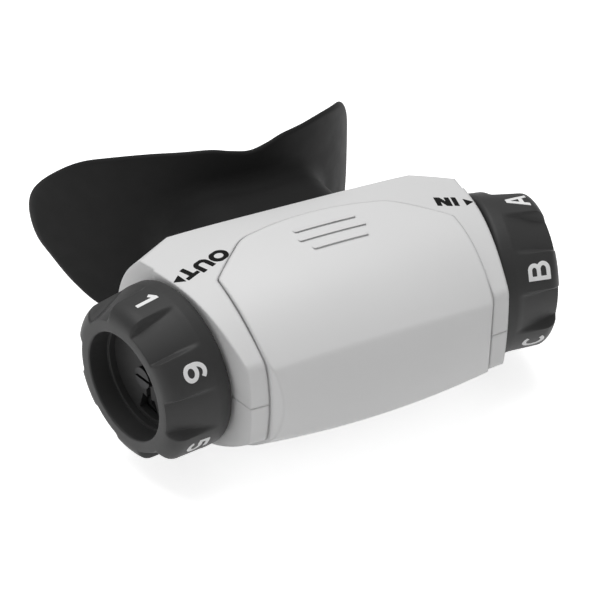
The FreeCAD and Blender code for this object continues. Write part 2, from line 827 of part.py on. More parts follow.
def make_housing():
    shell = housing_form().cut(bay(size("seam_gap")))
    side = size("core_half_width")
    middle = core_form(size("slide_gap"), 0)
    middle = middle.common(block((-side, -beyond, -beyond), (side, beyond, beyond)))
    shell = shell.fuse(middle)
    shell = shell.fuse(spigot_prism(0, size("rear_edge") - size("spigot_root"), size("spigot_end")))
    half = size("chamber_half_width")
    chamber = core_form(size("slide_gap"), size("core_wall"))
    shell = shell.cut(chamber.common(block((-half, -beyond, -beyond), (half, beyond, beyond))))
    flange_y = -(size("dial_gap") + size("end_wall"))
    slot_end = flange_y - size("flange_thick") - 2 * size("slot_slack")
    for side in (-1, 1):
        shell = shell.cut(disc_cut(side, size("collar_radius") + size("collar_slack"), flange_y - 1, 2))
        shell = shell.cut(disc_cut(side, size("flange_radius") + size("slot_slack"), slot_end, flange_y))
        shell = shell.cut(disc_cut(side, size("passage_radius"), -size("passage_depth"), slot_end + 1))
    posts = [upright(size("post_radius"), place, -beyond, beyond) for place in housing_screw_places()]
    inside = core_form(size("slide_gap"), size("core_wall") / 2)
    for post in posts:
        shell = shell.fuse(post.common(inside))
    shell = shell.cut(spigot_prism(size("spigot_wall"), size("rear_edge") - size("chamber_break"), beyond))
    # nozzle seat and tap for the pressure sensor in the front wall
    tap_x = size("sensor_x")
    tap_z = size("sensor_z")
    face = -size("dock_face")
    seat = face + size("seal_hat_depth")
    shell = shell.cut(lengthwise(size("tap_radius"), tap_x, tap_z, face - 1, face + size("core_wall") + 1))
    shell = shell.cut(lengthwise(size("seal_hat_radius"), tap_x, tap_z, face - 1, seat))
    for place in housing_screw_places():
        clearance = size("screw_radius") + size("screw_clearance")
        shell = shell.cut(upright(clearance, place, -beyond, 0))
        head = size("screw_head_radius") + size("screw_clearance")
        shell = shell.cut(upright(head, place, -beyond, -size("screw_seat_depth")))
        pilot = size("screw_radius") + size("press_gap")
        shell = shell.cut(upright(pilot, place, -1, size("screw_bite") + size("pilot_room")))
    half_gap = size("parting_gap") / 2
    upper = shell.common(block((-beyond, -beyond, half_gap), (beyond, beyond, beyond)))
    lower = shell.common(block((-beyond, -beyond, -beyond), (beyond, beyond, -half_gap)))
    feature("upper_housing", upper)
    feature("lower_housing", lower)


def make_housing_screws():
    screws = []
    seat = -size("screw_seat_depth")
    for place in housing_screw_places():
        head = upright(size("screw_head_radius"), place, seat - size("screw_head_height"), seat)
        screws.append(head.fuse(upright(size("screw_radius"), place, seat, size("screw_bite"))))
    feature("housing_screws", Part.makeCompound(screws))


# Stations of the front unit along Y
back_rear = -(size("dock_face") + size("slide_gap"))
back_front = back_rear - size("back_thick")
board_rear = back_front - size("board_stand")
board_front = board_rear - size("board_thick")


def unit_inside(inset, start, stop):
    """The room inside the front unit between two stations."""
    form = body_form(unit_front_line, size("unit_span"), inset)
    form = form.common(unit_plan(-inset, True)).common(unit_front_view(-inset))
    return form.common(block((-beyond, start, -beyond), (beyond, stop, beyond)))


def post_places(across, height):
    return [(sx * size(across), sz * size(height)) for sx in (-1, 1) for sz in (-1, 1)]


grip_ramps = [8.1, 8.8, 7.2]  # half the length of each ramp under the thumb, rear one first


def unit_top(y):
    """Height of the front unit's top on the middle line, at one depth."""
    share = max(0.0, size("crown_back") - y) / (size("crown_back") + size("unit_front"))
    drop = (size("crown_height") - size("unit_edge_height")) * share ** size("unit_slope_power")
    return size("crown_height") + size("unit_proud") - drop


def grip_ramp(i):
    """A low ramp across the top, tall at its front edge, that follows the crown's arc."""
    front = size("grip_ramp_back") - i * size("grip_ramp_pitch")
    back = front + size("grip_ramp_width")
    corners = [V(0, front, unit_top(front) - 1), V(0, front, unit_top(front) + size("grip_ramp_height")),
               V(0, back, unit_top(back)), V(0, back, unit_top(back) - 1)]
    outline = Part.Face(Part.makePolygon(corners + corners[:1]))
    arc_radius = size("crown_span") ** 2 / (2 * size("crown_drop"))
    half = math.degrees(math.asin(grip_ramps[i] / arc_radius))
    centre = V(0, 0, unit_top(front) - arc_radius)
    outline.rotate(centre, V(0, 1, 0), -half)
    ramp = outline.revolve(centre, V(0, 1, 0), 2 * half)
    upright_edges = [edge for edge in ramp.Edges if edge.BoundBox.YLength < touching
                     and edge.BoundBox.ZLength > 1 and edge.BoundBox.YMin < front + touching]
    return ramp.makeFillet(size("grip_ramp_corner"), upright_edges)


def make_cover():
    outer = body_form(unit_front_line, size("unit_span"), -size("unit_proud"))
    outer = outer.makeFillet(size("front_edge_round"), long_edges(outer, True))
    outer = outer.common(unit_plan(0, True)).common(unit_front_view(0))
    for i in range(len(grip_ramps)):
        outer = outer.fuse(grip_ramp(i))
    cover = outer.cut(unit_inside(size("cover_wall"), -beyond, back_rear))
    dock = arch(size("core_height") + size("slide_gap"), back_rear, beyond)
    cover = cover.cut(dock.common(body_form(unit_front_line, size("unit_span"), size("cover_wall"))))
    radius = size("small_post_radius")
    for x, z in post_places("back_post_x", "back_post_z"):
        cover = cover.fuse(lengthwise(radius, x, z, -beyond, back_front).common(outer))
    for x, z in post_places("board_post_x", "board_post_z"):
        cover = cover.fuse(lengthwise(radius, x, z, -beyond, board_front).common(outer))
    pilot = size("small_screw_radius") + size("press_gap")
    depth = size("small_screw_length")
    for x, z in post_places("back_post_x", "back_post_z"):
        cover = cover.cut(lengthwise(pilot, x, z, back_front - depth, back_front + 1))
    for x, z in post_places("board_post_x", "board_post_z"):
        cover = cover.cut(lengthwise(pilot, x, z, board_front - depth, board_front + 1))
    feature("control_cover", cover)


def make_control_back():
    plate = unit_inside(size("cover_wall") + size("back_gap"), back_front, back_rear)
    shank = size("small_screw_radius") + size("small_screw_gap")
    head = size("small_head_radius") + size("small_screw_gap")
    for x, z in post_places("back_post_x", "back_post_z"):
        plate = plate.cut(lengthwise(shank, x, z, back_front - 1, back_rear + 1))
        plate = plate.cut(lengthwise(head, x, z, back_rear - size("small_head_recess"), back_rear + 1))
    nozzle = size("nozzle_radius") + size("nozzle_hole_gap")
    plate = plate.cut(lengthwise(nozzle, size("sensor_x"), size("sensor_z"), back_front - 1, back_rear + 1))
    gap = size("socket_hole_gap")
    wide = size("socket_width") / 2 + gap
    tall = size("socket_height") / 2 + gap
    x = size("socket_x")
    plate = plate.cut(block((x - wide, back_front - 1, -tall), (x + wide, back_rear + 1, tall)))
    feature("control_back", plate)


def small_screws(name, places, seat):
    screws = []
    length = size("small_screw_length")
    for x, z in places:
        head = lengthwise(size("small_head_radius"), x, z, seat, seat + size("small_head_height"))
        shank = lengthwise(size("small_screw_radius"), x, z, seat - length, seat)
        screws.append(head.fuse(shank))
    feature(name, Part.makeCompound(screws))


def make_box(name, width, thick, height, place):
    box = doc.addObject("Part::Box", name)
    box.Label = name
    box.setExpression("Length", bound(width))
    box.setExpression("Width", bound(thick))
    box.setExpression("Height", bound(height))
    box.Placement = stance.multiply(shift(*place))
    return box


def make_electronics():
    board = block((-size("board_width") / 2, board_front, -size("board_height") / 2),
                  (size("board_width") / 2, board_rear, size("board_height") / 2))
    hole = size("small_screw_radius") + size("small_screw_gap")
    for x, z in post_places("board_post_x", "board_post_z"):
        board = board.cut(lengthwise(hole, x, z, board_front - 1, board_rear + 1))
    feature("circuit_board", board)
    small_screws("board_screws", post_places("board_post_x", "board_post_z"), board_rear)
    seat = back_rear - size("small_head_recess")
    small_screws("back_screws", post_places("back_post_x", "back_post_z"), seat)
    make_box("battery_cell", "battery_width", "battery_thick", "battery_height",
             (-size("battery_width") / 2, board_front - size("battery_gap") - size("battery_thick"),
              -size("battery_height") / 2))
    half = size("sensor_width") / 2
    x = size("sensor_x")
    z = size("sensor_z")
    top = board_rear + size("sensor_thick")
    sensor = block((x - half, board_rear, z - half), (x + half, top, z + half))
    sensor = sensor.fuse(lengthwise(size("nozzle_radius"), x, z, top, top + size("nozzle_length")))
    feature("pressure_sensor", sensor)
    half_wide = size("socket_width") / 2
    half_tall = size("socket_height") / 2
    wall = size("socket_wall")
    x = size("socket_x")
    mouth = back_front + size("back_thick") / 2
    can = block((x - half_wide, board_rear, -half_tall), (x + half_wide, mouth, half_tall))
    room = block((x - half_wide + wall, board_rear + wall, -half_tall + wall),
                 (x + half_wide - wall, mouth + 1, half_tall - wall))
    feature("charging_socket", can.cut(room))
    face = -size("dock_face")
    outer = size("seal_hat_radius") - size("port_seal_gap")
    inner = size("nozzle_radius") + size("nozzle_seal_gap")
    ring = lengthwise(outer, size("sensor_x"), size("sensor_z"), face, face + size("seal_hat_depth"))
    bore = lengthwise(inner, size("sensor_x"), size("sensor_z"), face - 1, face + size("seal_hat_depth") + 1)
    feature("port_seal", ring.cut(bore))


# Mouthpiece: a swept sheet for the lips on an oval neck, with a gum flange and two bite lugs inside

def shield_line(x):
    """Depth of the shield's front face, bowed in plan and swept back more at the wings."""
    bow = x * x / (2 * size("shield_radius"))
    past = max(0.0, abs(x) - size("shield_sweep_start"))
    return size("shield_front") + bow + past * past / (2 * size("shield_sweep_radius"))


def flange_line(x):
    return size("flange_front") + x * x / (2 * size("flange_curve"))


def sheet_curve(line, half_width, offset):
    """A smooth curve in plan, offset squarely from a line."""
    points = []
    steps = 8
    for i in range(-steps, steps + 1):
        x = half_width * i / steps
        slope = (line(x + 0.01) - line(x - 0.01)) / 0.02
        normal = V(-slope, 1, 0).normalize()
        points.append(V(x, line(x), -beyond) + normal * offset)
    curve = Part.BSplineCurve()
    curve.interpolate(points)
    return curve.toShape(), points[0], points[-1]


def curved_sheet(line, half_width, thick):
    """An upright sheet of even thickness whose front follows a line in plan."""
    near, near_first, near_last = sheet_curve(line, half_width, 0)
    far, far_first, far_last = sheet_curve(line, half_width, thick)
    first = Part.LineSegment(near_first, far_first).toShape()
    last = Part.LineSegment(near_last, far_last).toShape()
    outline = Part.Wire(Part.__sortEdges__([near, last, far, first]))
    return Part.Face(outline).extrude(V(0, 0, 2 * beyond))


def room_behind(line, half_width, offset):
    """Everything on the user's side of a line in plan."""
    near, near_first, near_last = sheet_curve(line, half_width, offset)
    corner_first = V(near_first.x, 2 * beyond, -beyond)
    corner_last = V(near_last.x, 2 * beyond, -beyond)
    runs = [Part.LineSegment(near_first, corner_first).toShape(),
            Part.LineSegment(corner_first, corner_last).toShape(),
            Part.LineSegment(corner_last, near_last).toShape()]
    outline = Part.Wire(Part.__sortEdges__([near] + runs))
    return Part.Face(outline).extrude(V(0, 0, 2 * beyond))


def mirrored_outline(half, y):
    """A closed smooth outline in the front view from its right half, top to bottom."""
    left = [(-x, z) for x, z in reversed(half) if x > 0]
    curve = Part.BSplineCurve()
    curve.interpolate([V(x, y, z) for x, z in half + left], PeriodicFlag=True)
    return Part.Wire([curve.toShape()])


shield_outline = [
    (0, 24.5), (5, 25.3), (10, 26.3), (16, 26.1), (24, 25.2), (32, 23.0), (38, 19.9),
    (43.2, 14.2), (46.6, 8.0), (47.7, 1.5), (46.9, -6.0), (44.4, -11.4), (41.0, -17.2),
    (36.5, -22.0), (30, -24.6), (22, -26.0), (14, -26.2), (7, -25.6), (0, -24.6)]


def make_mouthpiece():
    shield = curved_sheet(shield_line, size("shield_span"), size("shield_thick"))
    shield = shield.common(Part.Face(mirrored_outline(shield_outline, 0)).extrude(V(0, beyond, 0)))
    grow = size("neck_fit") + size("neck_wall")
    behind = room_behind(shield_line, size("shield_span"), size("shield_thick") / 2)
    neck = spigot_prism(-grow, size("neck_start"), beyond).cut(behind)
    piece = shield.fuse(neck).removeSplitter()
    tube_wide = size("mouth_half_width") + size("lip_tube_wall")
    tube_tall = size("mouth_half_height") + size("lip_tube_wall")
    tube_round = size("mouth_round") + size("lip_tube_wall")
    tube_start = size("shield_front") + size("shield_thick") / 2
    tube = oval_prism(tube_wide, tube_tall, tube_round, tube_start, beyond)
    behind_flange = room_behind(flange_line, size("flange_span"), size("gum_flange_thick") / 2)
    tube = tube.cut(behind_flange)
    piece = piece.fuse(tube)
    flange = curved_sheet(flange_line, size("flange_span"), size("gum_flange_thick"))
    wide = size("gum_flange_half_width")
    tall = size("gum_flange_half_height")
    blank = oval_prism(wide, tall, size("gum_flange_round"), 0, beyond)
    piece = piece.fuse(flange.common(blank))
    for side in (-1, 1):
        near = side * size("lug_inner")
        far = side * size("lug_outer")
        half = size("lug_thick") / 2
        lug = block((min(near, far), size("flange_front"), -half),
                    (max(near, far), size("lug_end"), half))
        piece = piece.fuse(lug.common(behind_flange))
    room_end = size("spigot_end") + size("neck_fit")
    spigot_room = spigot_prism(-size("neck_fit"), size("neck_start") - 1, room_end)
    airway = oval_prism(size("mouth_half_width"), size("mouth_half_height"), size("mouth_round"), 0, beyond)
    piece = piece.cut(spigot_room).cut(airway)
    feature("mouthpiece", piece)


for side, end in ((-1, "out"), (1, "in")):
    make_dial(end + "_dial", side)
    make_valve_plate(end + "_valve_plate", side)
    make_spindle(end + "_spindle", side)
    make_seal_ring(end + "_seal_ring", side)
    make_click_spring(end + "_click_spring", side)
    make_flap(end + "_flap", side)
    make_flap_pin(end + "_flap_pin", side)
make_housing()
make_housing_screws()
make_cover()
make_control_back()
make_electronics()
make_mouthpiece()
doc.recompute()

faults = [item.Label for item in doc.Objects if "Invalid" in item.State or "Error" in item.State]
if faults:
    raise RuntimeError("these objects failed: " + ", ".join(faults))

kinds = ("PartDesign::Body", "Part::Feature", "Part::Box", "Part::Cylinder")
pieces = [item for item in doc.Objects if item.TypeId in kinds]
os.makedirs("parts", exist_ok=True)
for item in pieces:
    shape = item.Shape
    if shape.isNull() or not shape.isValid():
        raise RuntimeError("not a sound solid: " + item.Label)
    shape.exportStep("parts/%s.step" % item.Label)
    print(item.Label, len(shape.Solids), round(shape.Volume, 1))
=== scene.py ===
import bpy
import bmesh
import json
import math
import numpy as np
from mathutils import Matrix, Vector


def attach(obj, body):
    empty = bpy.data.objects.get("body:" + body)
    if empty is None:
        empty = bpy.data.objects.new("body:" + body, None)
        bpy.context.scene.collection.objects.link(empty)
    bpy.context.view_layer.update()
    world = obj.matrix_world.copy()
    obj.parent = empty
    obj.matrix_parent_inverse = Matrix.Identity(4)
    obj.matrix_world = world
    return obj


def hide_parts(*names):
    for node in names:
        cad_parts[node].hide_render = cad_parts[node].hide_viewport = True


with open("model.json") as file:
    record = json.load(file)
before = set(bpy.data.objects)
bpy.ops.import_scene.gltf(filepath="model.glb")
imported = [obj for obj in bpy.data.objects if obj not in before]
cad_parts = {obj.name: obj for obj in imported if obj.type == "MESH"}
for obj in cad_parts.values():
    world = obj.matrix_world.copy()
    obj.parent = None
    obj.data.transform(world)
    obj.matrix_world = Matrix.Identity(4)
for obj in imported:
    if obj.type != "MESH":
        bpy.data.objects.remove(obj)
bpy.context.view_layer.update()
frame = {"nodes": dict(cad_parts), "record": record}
nodes = frame["nodes"]

# Shapes are worked out in millimetres: X along the body, Y towards the user, Z up from the parting level.
stance = {
    "depth": 25.328,
    "height": 26.238,
}
dialPlace = {
    "cant": 13.2,
    "reach": 41.06,
    "forward": 1.45,
}


def toFrame(points):
    # working millimetres to the model's metres, with the body raised on to its stance
    shifted = np.asarray(points, float) + np.array([0.0, -stance["depth"], stance["height"]])
    return shifted / 1000.0


def dialAxes(side):
    # centre of a dial's back plane, the way it faces, straight up, and the way round to the front
    cant = math.radians(dialPlace["cant"])
    out = np.array([side * math.cos(cant), -math.sin(cant), 0.0])
    up = np.array([0.0, 0.0, 1.0])
    toFront = np.cross(up, out) * -side
    centre = np.array([side * dialPlace["reach"], -dialPlace["forward"], 0.0])
    return centre, out, up, toFront


def onDial(side, angle, height, radius):
    # a point of a dial: its height along the axis, its angle from the top round to the front and its
    # distance from the axis
    centre, out, up, toFront = dialAxes(side)
    angle, height, radius = np.broadcast_arrays(angle, height, radius)
    ray = up * np.cos(angle)[..., None] + toFront * np.sin(angle)[..., None]
    return centre + out * height[..., None] + ray * radius[..., None]


# Helpers for meshes


def smoothStep(x):
    # 3x^2 - 2x^3 between 0 and 1, level at both ends
    x = np.clip(x, 0.0, 1.0)
    return x * x * (3.0 - 2.0 * x)


def addObject(name, data):
    piece = bpy.data.objects.new(name, data)
    bpy.context.scene.collection.objects.link(piece)
    return piece


def gridFaces(rows, columns, wrapRows, wrapColumns):
    # four corners of each cell of a grid whose points are numbered row by row
    i = np.arange(rows if wrapRows else rows - 1)
    j = np.arange(columns if wrapColumns else columns - 1)
    i, j = np.meshgrid(i, j, indexing="ij")
    nextI = (i + 1) % rows
    nextJ = (j + 1) % columns
    corners = [i * columns + j, i * columns + nextJ, nextI * columns + nextJ, nextI * columns + j]
    return np.stack(corners, -1).reshape(-1, 4)


def onlyUsed(points, faces):
    # the points that a face uses, and the faces with the new numbers of those points
    used, numbers = np.unique(faces, return_inverse=True)
    return points[used], numbers.reshape(faces.shape)


def meshFrom(name, points, faces):
    mesh = bpy.data.meshes.new(name)
    mesh.from_pydata(toFrame(points.reshape(-1, 3)).tolist(), [], faces.tolist())
    mesh.validate()
    return mesh


def faceOutwards(mesh):
    shell = bmesh.new()
    shell.from_mesh(mesh)
    bmesh.ops.recalc_face_normals(shell, faces=shell.faces)
    shell.to_mesh(mesh)
    shell.free()


def faceTowards(mesh, out):
    # flat cells all face one way, given by a direction
    shell = bmesh.new()
    shell.from_mesh(mesh)
    average = sum((face.normal for face in shell.faces), start=Vector())
    if average.dot(Vector(out)) < 0:
        bmesh.ops.reverse_faces(shell, faces=shell.faces)
    shell.to_mesh(mesh)
    shell.free()


def smoothUnder(mesh, degrees):
    mesh.shade_smooth()
    mesh.set_sharp_from_angle(angle=math.radians(degrees))


def roundedLoop(corners, radii, steps):
    # a closed outline whose corners are replaced by arcs, with each arc's centre on its corner's bisector
    corners = np.asarray(corners, float)
    loop = []
    for k, (corner, radius) in enumerate(zip(corners, radii)):
        before = corners[k - 1] - corner
        after = corners[(k + 1) % len(corners)] - corner
        before = before / np.linalg.norm(before)
        after = after / np.linalg.norm(after)
        if radius == 0:
            loop.append(corner[None])
            continue
        half = math.acos(np.clip(before @ after, -1, 1)) / 2
        bisector = (before + after) / np.linalg.norm(before + after)
        centre = corner + bisector * radius / math.sin(half)
        start = corner + before * radius / math.tan(half) - centre
        stop = corner + after * radius / math.tan(half) - centre
        share = np.linspace(0, 1, steps)[:, None]
        turn = math.acos(np.clip(start @ stop / radius ** 2, -1, 1))
        arc = (np.sin((1 - share) * turn) * start + np.sin(share * turn) * stop) / math.sin(turn)
        loop.append(centre + arc)
    return np.concatenate(loop)


def resampled(loop, step):
    # more points along the long runs of a closed outline
    ends = np.roll(loop, -1, axis=0)
    parts = []
    for a, b in zip(loop, ends):
        count = max(1, int(np.linalg.norm(b - a) / step))
        parts.append(a + (b - a) * (np.arange(count) / count)[:, None])
    return np.concatenate(parts)


def evenRuns(stops, counts):
    # even steps between each stop and the next, so many to each stretch, without the last stop
    stretches = zip(stops, stops[1:], counts)
    return np.concatenate([np.linspace(a, b, count, endpoint=False) for a, b, count in stretches])


def finishPiece(piece, body, material, replaced=()):
    piece.data.materials.clear()
    piece.data.materials.append(material)
    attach(piece, body)
    if replaced:
        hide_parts(*replaced)
    return piece


# Materials: every finish is one moulded or machined skin with its own values

skinMarks = {
    "mottleDetail": 3.0, "grainDetail": 2.0,
    "streakDetail": 4.0, "streakScale": (40.0, 260.0, 260.0), "streakTurn": (0.3, 0.5, 0.4),
}


def socketGroup(name, inputs, outputs):
    group = bpy.data.node_groups.new(name, "ShaderNodeTree")
    for label, kind, value in inputs:
        socket = group.interface.new_socket(name=label, in_out="INPUT", socket_type=kind)
        if value is not None:
            socket.default_value = value
    for label, kind in outputs:
        group.interface.new_socket(name=label, in_out="OUTPUT", socket_type=kind)
    return group, group.nodes.new("NodeGroupInput"), group.nodes.new("NodeGroupOutput")


def mathNode(tree, operation, *values):
    node = tree.nodes.new("ShaderNodeMath")
    node.operation = operation
    for k, value in enumerate(values):
        if hasattr(value, "is_linked"):
            tree.links.new(value, node.inputs[k])
        else:
            node.inputs[k].default_value = value
    return node.outputs[0]


def noiseNode(tree, vector, scale, detail):
    node = tree.nodes.new("ShaderNodeTexNoise")
    tree.links.new(vector, node.inputs["Vector"])
    if hasattr(scale, "is_linked"):
        tree.links.new(scale, node.inputs["Scale"])
    else:
        node.inputs["Scale"].default_value = scale
    node.inputs["Detail"].default_value = detail
    return node.outputs["Fac"]


def buildMouldedSkin():
    # broad mottling, fine spark-eroded grain and faint handling marks of a moulded skin
    group, given, result = socketGroup("mouldedSkin", [
        ("Vector", "NodeSocketVector", None),
        ("GrainSize", "NodeSocketFloat", 0.00025),
        ("MottleSize", "NodeSocketFloat", 0.02),
        ("Marks", "NodeSocketFloat", 0.5),
    ], [
        ("Mottle", "NodeSocketFloat"),
        ("Grain", "NodeSocketFloat"),
        ("Wipe", "NodeSocketFloat"),
    ])
    vector = given.outputs["Vector"]
    grainScale = mathNode(group, "DIVIDE", 1.0, given.outputs["GrainSize"])
    mottleScale = mathNode(group, "DIVIDE", 1.0, given.outputs["MottleSize"])
    mottle = noiseNode(group, vector, mottleScale, skinMarks["mottleDetail"])
    grain = noiseNode(group, vector, grainScale, skinMarks["grainDetail"])
    stretched = group.nodes.new("ShaderNodeMapping")
    stretched.inputs["Scale"].default_value = skinMarks["streakScale"]
    stretched.inputs["Rotation"].default_value = skinMarks["streakTurn"]
    group.links.new(vector, stretched.inputs["Vector"])
    streaks = noiseNode(group, stretched.outputs["Vector"], 1.0, skinMarks["streakDetail"])
    wipe = mathNode(group, "MULTIPLY", mathNode(group, "SUBTRACT", streaks, 0.5), given.outputs["Marks"])
    group.links.new(mottle, result.inputs["Mottle"])
    group.links.new(grain, result.inputs["Grain"])
    group.links.new(wipe, result.inputs["Wipe"])
    return group


mouldedSkin = buildMouldedSkin()


# what a finish has unless its own values say otherwise
plainLook = {"metallic": 0.0, "specular": 0.5, "edgeRadius": 0.0001}


def mouldedMaterial(name, ownLook):
    # two near tones by the mottle, roughness by the wipe marks and height by the grain
    look = {**plainLook, **ownLook}
    material = bpy.data.materials.new(name)
    material.use_nodes = True
    tree = material.node_tree
    shader = tree.nodes["Principled BSDF"]
    place = tree.nodes.new("ShaderNodeTexCoord").outputs["Object"]
    skin = tree.nodes.new("ShaderNodeGroup")
    skin.node_tree = mouldedSkin
    skin.inputs["GrainSize"].default_value = look["grainSize"]
    skin.inputs["MottleSize"].default_value = look["mottleSize"]
    skin.inputs["Marks"].default_value = look["marks"]
    tree.links.new(place, skin.inputs["Vector"])
    tones = tree.nodes.new("ShaderNodeMix")
    tones.data_type = "RGBA"
    tones.inputs["A"].default_value = (*look["darkTone"], 1.0)
    tones.inputs["B"].default_value = (*look["paleTone"], 1.0)
    tree.links.new(skin.outputs["Mottle"], tones.inputs["Factor"])
    tree.links.new(tones.outputs["Result"], shader.inputs["Base Color"])
    rough = mathNode(tree, "ADD", skin.outputs["Wipe"], look["roughness"])
    tree.links.new(rough, shader.inputs["Roughness"])
    # sharp edges of the moulding catch the light as if they had a small radius
    soft = tree.nodes.new("ShaderNodeBevel")
    soft.samples = 6
    soft.inputs["Radius"].default_value = look["edgeRadius"]
    bump = tree.nodes.new("ShaderNodeBump")
    tree.links.new(soft.outputs["Normal"], bump.inputs["Normal"])
    bump.inputs["Strength"].default_value = look["grainStrength"]
    bump.inputs["Distance"].default_value = look["grainSize"] / 4
    tree.links.new(skin.outputs["Grain"], bump.inputs["Height"])
    tree.links.new(bump.outputs["Normal"], shader.inputs["Normal"])
    shader.inputs["Metallic"].default_value = look["metallic"]
    shader.inputs["Specular IOR Level"].default_value = look["specular"]
    return material


looks = {
    "shellPale": {"darkTone": (0.745, 0.745, 0.745), "paleTone": (0.790, 0.790, 0.790), "roughness": 0.48,
                  "grainSize": 0.0003, "mottleSize": 0.03, "marks": 0.10, "grainStrength": 0.10,
                  "edgeRadius": 0.0011},
    "coverPale": {"darkTone": (0.770, 0.770, 0.770), "paleTone": (0.815, 0.815, 0.815), "roughness": 0.46,
                  "grainSize": 0.0003, "mottleSize": 0.03, "marks": 0.10, "grainStrength": 0.10,
                  "edgeRadius": 0.0012},
    "dialBlack": {"darkTone": (0.035, 0.035, 0.035), "paleTone": (0.045, 0.045, 0.045), "roughness": 0.50,
                  "grainSize": 0.0003, "mottleSize": 0.02, "marks": 0.12, "grainStrength": 0.20,
                  "specular": 0.30, "edgeRadius": 0.0002},
    "mouthSilicone": {"darkTone": (0.014, 0.014, 0.014), "paleTone": (0.018, 0.018, 0.018),
                      "roughness": 0.64, "grainSize": 0.0004, "mottleSize": 0.03, "marks": 0.16,
                      "grainStrength": 0.12, "specular": 0.12},
    "flapSilicone": {"darkTone": (0.52, 0.52, 0.50), "paleTone": (0.60, 0.60, 0.58), "roughness": 0.5,
                     "grainSize": 0.0004, "mottleSize": 0.01, "marks": 0.1, "grainStrength": 0.1},
    "sealRubber": {"darkTone": (0.018, 0.018, 0.018), "paleTone": (0.03, 0.03, 0.03), "roughness": 0.6,
                   "grainSize": 0.0004, "mottleSize": 0.01, "marks": 0.1, "grainStrength": 0.2},
    "valveGrey": {"darkTone": (0.030, 0.030, 0.031), "paleTone": (0.042, 0.042, 0.043), "roughness": 0.5,
                  "grainSize": 0.0003, "mottleSize": 0.02, "marks": 0.1, "grainStrength": 0.2},
    "backDark": {"darkTone": (0.14, 0.14, 0.14), "paleTone": (0.18, 0.18, 0.18), "roughness": 0.5,
                 "grainSize": 0.0003, "mottleSize": 0.02, "marks": 0.1, "grainStrength": 0.2},
    "steel": {"darkTone": (0.50, 0.50, 0.50), "paleTone": (0.62, 0.62, 0.62), "roughness": 0.3,
              "grainSize": 0.0002, "mottleSize": 0.004, "marks": 0.25, "grainStrength": 0.1,
              "metallic": 1.0},
    "steelBlack": {"darkTone": (0.020, 0.020, 0.021), "paleTone": (0.030, 0.030, 0.031),
                   "roughness": 0.42, "grainSize": 0.0002, "mottleSize": 0.004, "marks": 0.15,
                   "grainStrength": 0.1, "metallic": 0.6},
    "boardGreen": {"darkTone": (0.015, 0.10, 0.04), "paleTone": (0.03, 0.16, 0.06), "roughness": 0.3,
                   "grainSize": 0.0004, "mottleSize": 0.004, "marks": 0.1, "grainStrength": 0.2},
    "cellFoil": {"darkTone": (0.55, 0.55, 0.57), "paleTone": (0.68, 0.68, 0.70), "roughness": 0.28,
                 "grainSize": 0.0006, "mottleSize": 0.01, "marks": 0.3, "grainStrength": 0.3,
                 "metallic": 1.0},
    "sensorBlack": {"darkTone": (0.02, 0.02, 0.02), "paleTone": (0.03, 0.03, 0.03), "roughness": 0.4,
                    "grainSize": 0.0002, "mottleSize": 0.004, "marks": 0.1, "grainStrength": 0.2},
    "numeralWhite": {"darkTone": (0.90, 0.90, 0.90), "paleTone": (0.94, 0.94, 0.94), "roughness": 0.5,
                     "grainSize": 0.0003, "mottleSize": 0.01, "marks": 0.1, "grainStrength": 0.1},
    "letteringBlack": {"darkTone": (0.006, 0.006, 0.006), "paleTone": (0.010, 0.010, 0.010),
                       "roughness": 0.5, "grainSize": 0.0003, "mottleSize": 0.01, "marks": 0.1,
                       "grainStrength": 0.1, "specular": 0.08},
}
finishes = {name: mouldedMaterial(name, look) for name, look in looks.items()}
slotFinishes = {
    "shell_pale": "shellPale", "cover_pale": "coverPale", "dial_black": "dialBlack",
    "mouth_silicone": "mouthSilicone", "flap_silicone": "flapSilicone", "seal_rubber": "sealRubber",
    "valve_grey": "valveGrey", "back_dark": "backDark", "steel": "steel", "steel_black": "steelBlack",
    "board_green": "boardGreen", "cell_foil": "cellFoil", "sensor_black": "sensorBlack",
}
for part in frame["record"]["subparts"]:
    node = nodes[part["node"]]
    node.data.materials.clear()
    node.data.materials.append(finishes[slotFinishes[part["material_slot"]]])
print("materials made")


# Dials: a lathe profile whose outside is pressed in between the number pads

dial = {
    "radius": 20.5, "frontRadius": 19.6, "length": 15.3, "cupRadius": 13.4, "cupDepth": 6.95,
    "ledgeRadius": 12.8, "ledgeHeight": 1.7, "backEdge": -0.5, "skirtRadius": 17.0, "boreRadius": 2.05,
    "ledgeRound": 0.2, "cupRound": 0.1, "rimRound": 0.45, "noseRound": 4.0, "flankRound": 6.0,
    "backRound": 1.3, "skirtRound": 0.25, "roomRound": 0.3, "roundSteps": 9, "longestStep": 0.6,
    "pads": 6, "rimWidth": 0.5, "gripStart": 3.2, "gripRise": 2.0, "gripSlope": 0.275,
    "gripBlend": 0.2, "gripAngle": 30.0, "gripEdge": 3.6, "sharpAngle": 38.0,
    "floorThick": 2.0, "floorOverlap": 0.2, "floorChamfer": 0.15,
    "slotStart": 3.2, "slotEnd": 6.5, "slotHalfWidth": 0.85,
    "fanEnd": 11.6, "fanHalfAngle": 20.0, "fanInnerAngle": 7.5,
}
padTurn = 360.0 / dial["pads"]


def gripShare(angle):
    # 1 in the middle of a recess, 0 on a pad, with a short slope at each edge; a pad stands at the top
    sector = math.radians(padTurn)
    fromRecess = np.abs(angle % sector - sector / 2)
    half = math.radians(dial["gripAngle"] / 2)
    edge = math.radians(dial["gripEdge"])
    return 1.0 - smoothStep((fromRecess - half + edge / 2) / edge)


def padRadius(height):
    # a cylinder at the back and a slight cone from the grip's start to the front
    slope = (dial["radius"] - dial["frontRadius"]) / (dial["length"] - dial["gripStart"])
    return dial["radius"] - slope * np.clip(height - dial["gripStart"], 0, None)


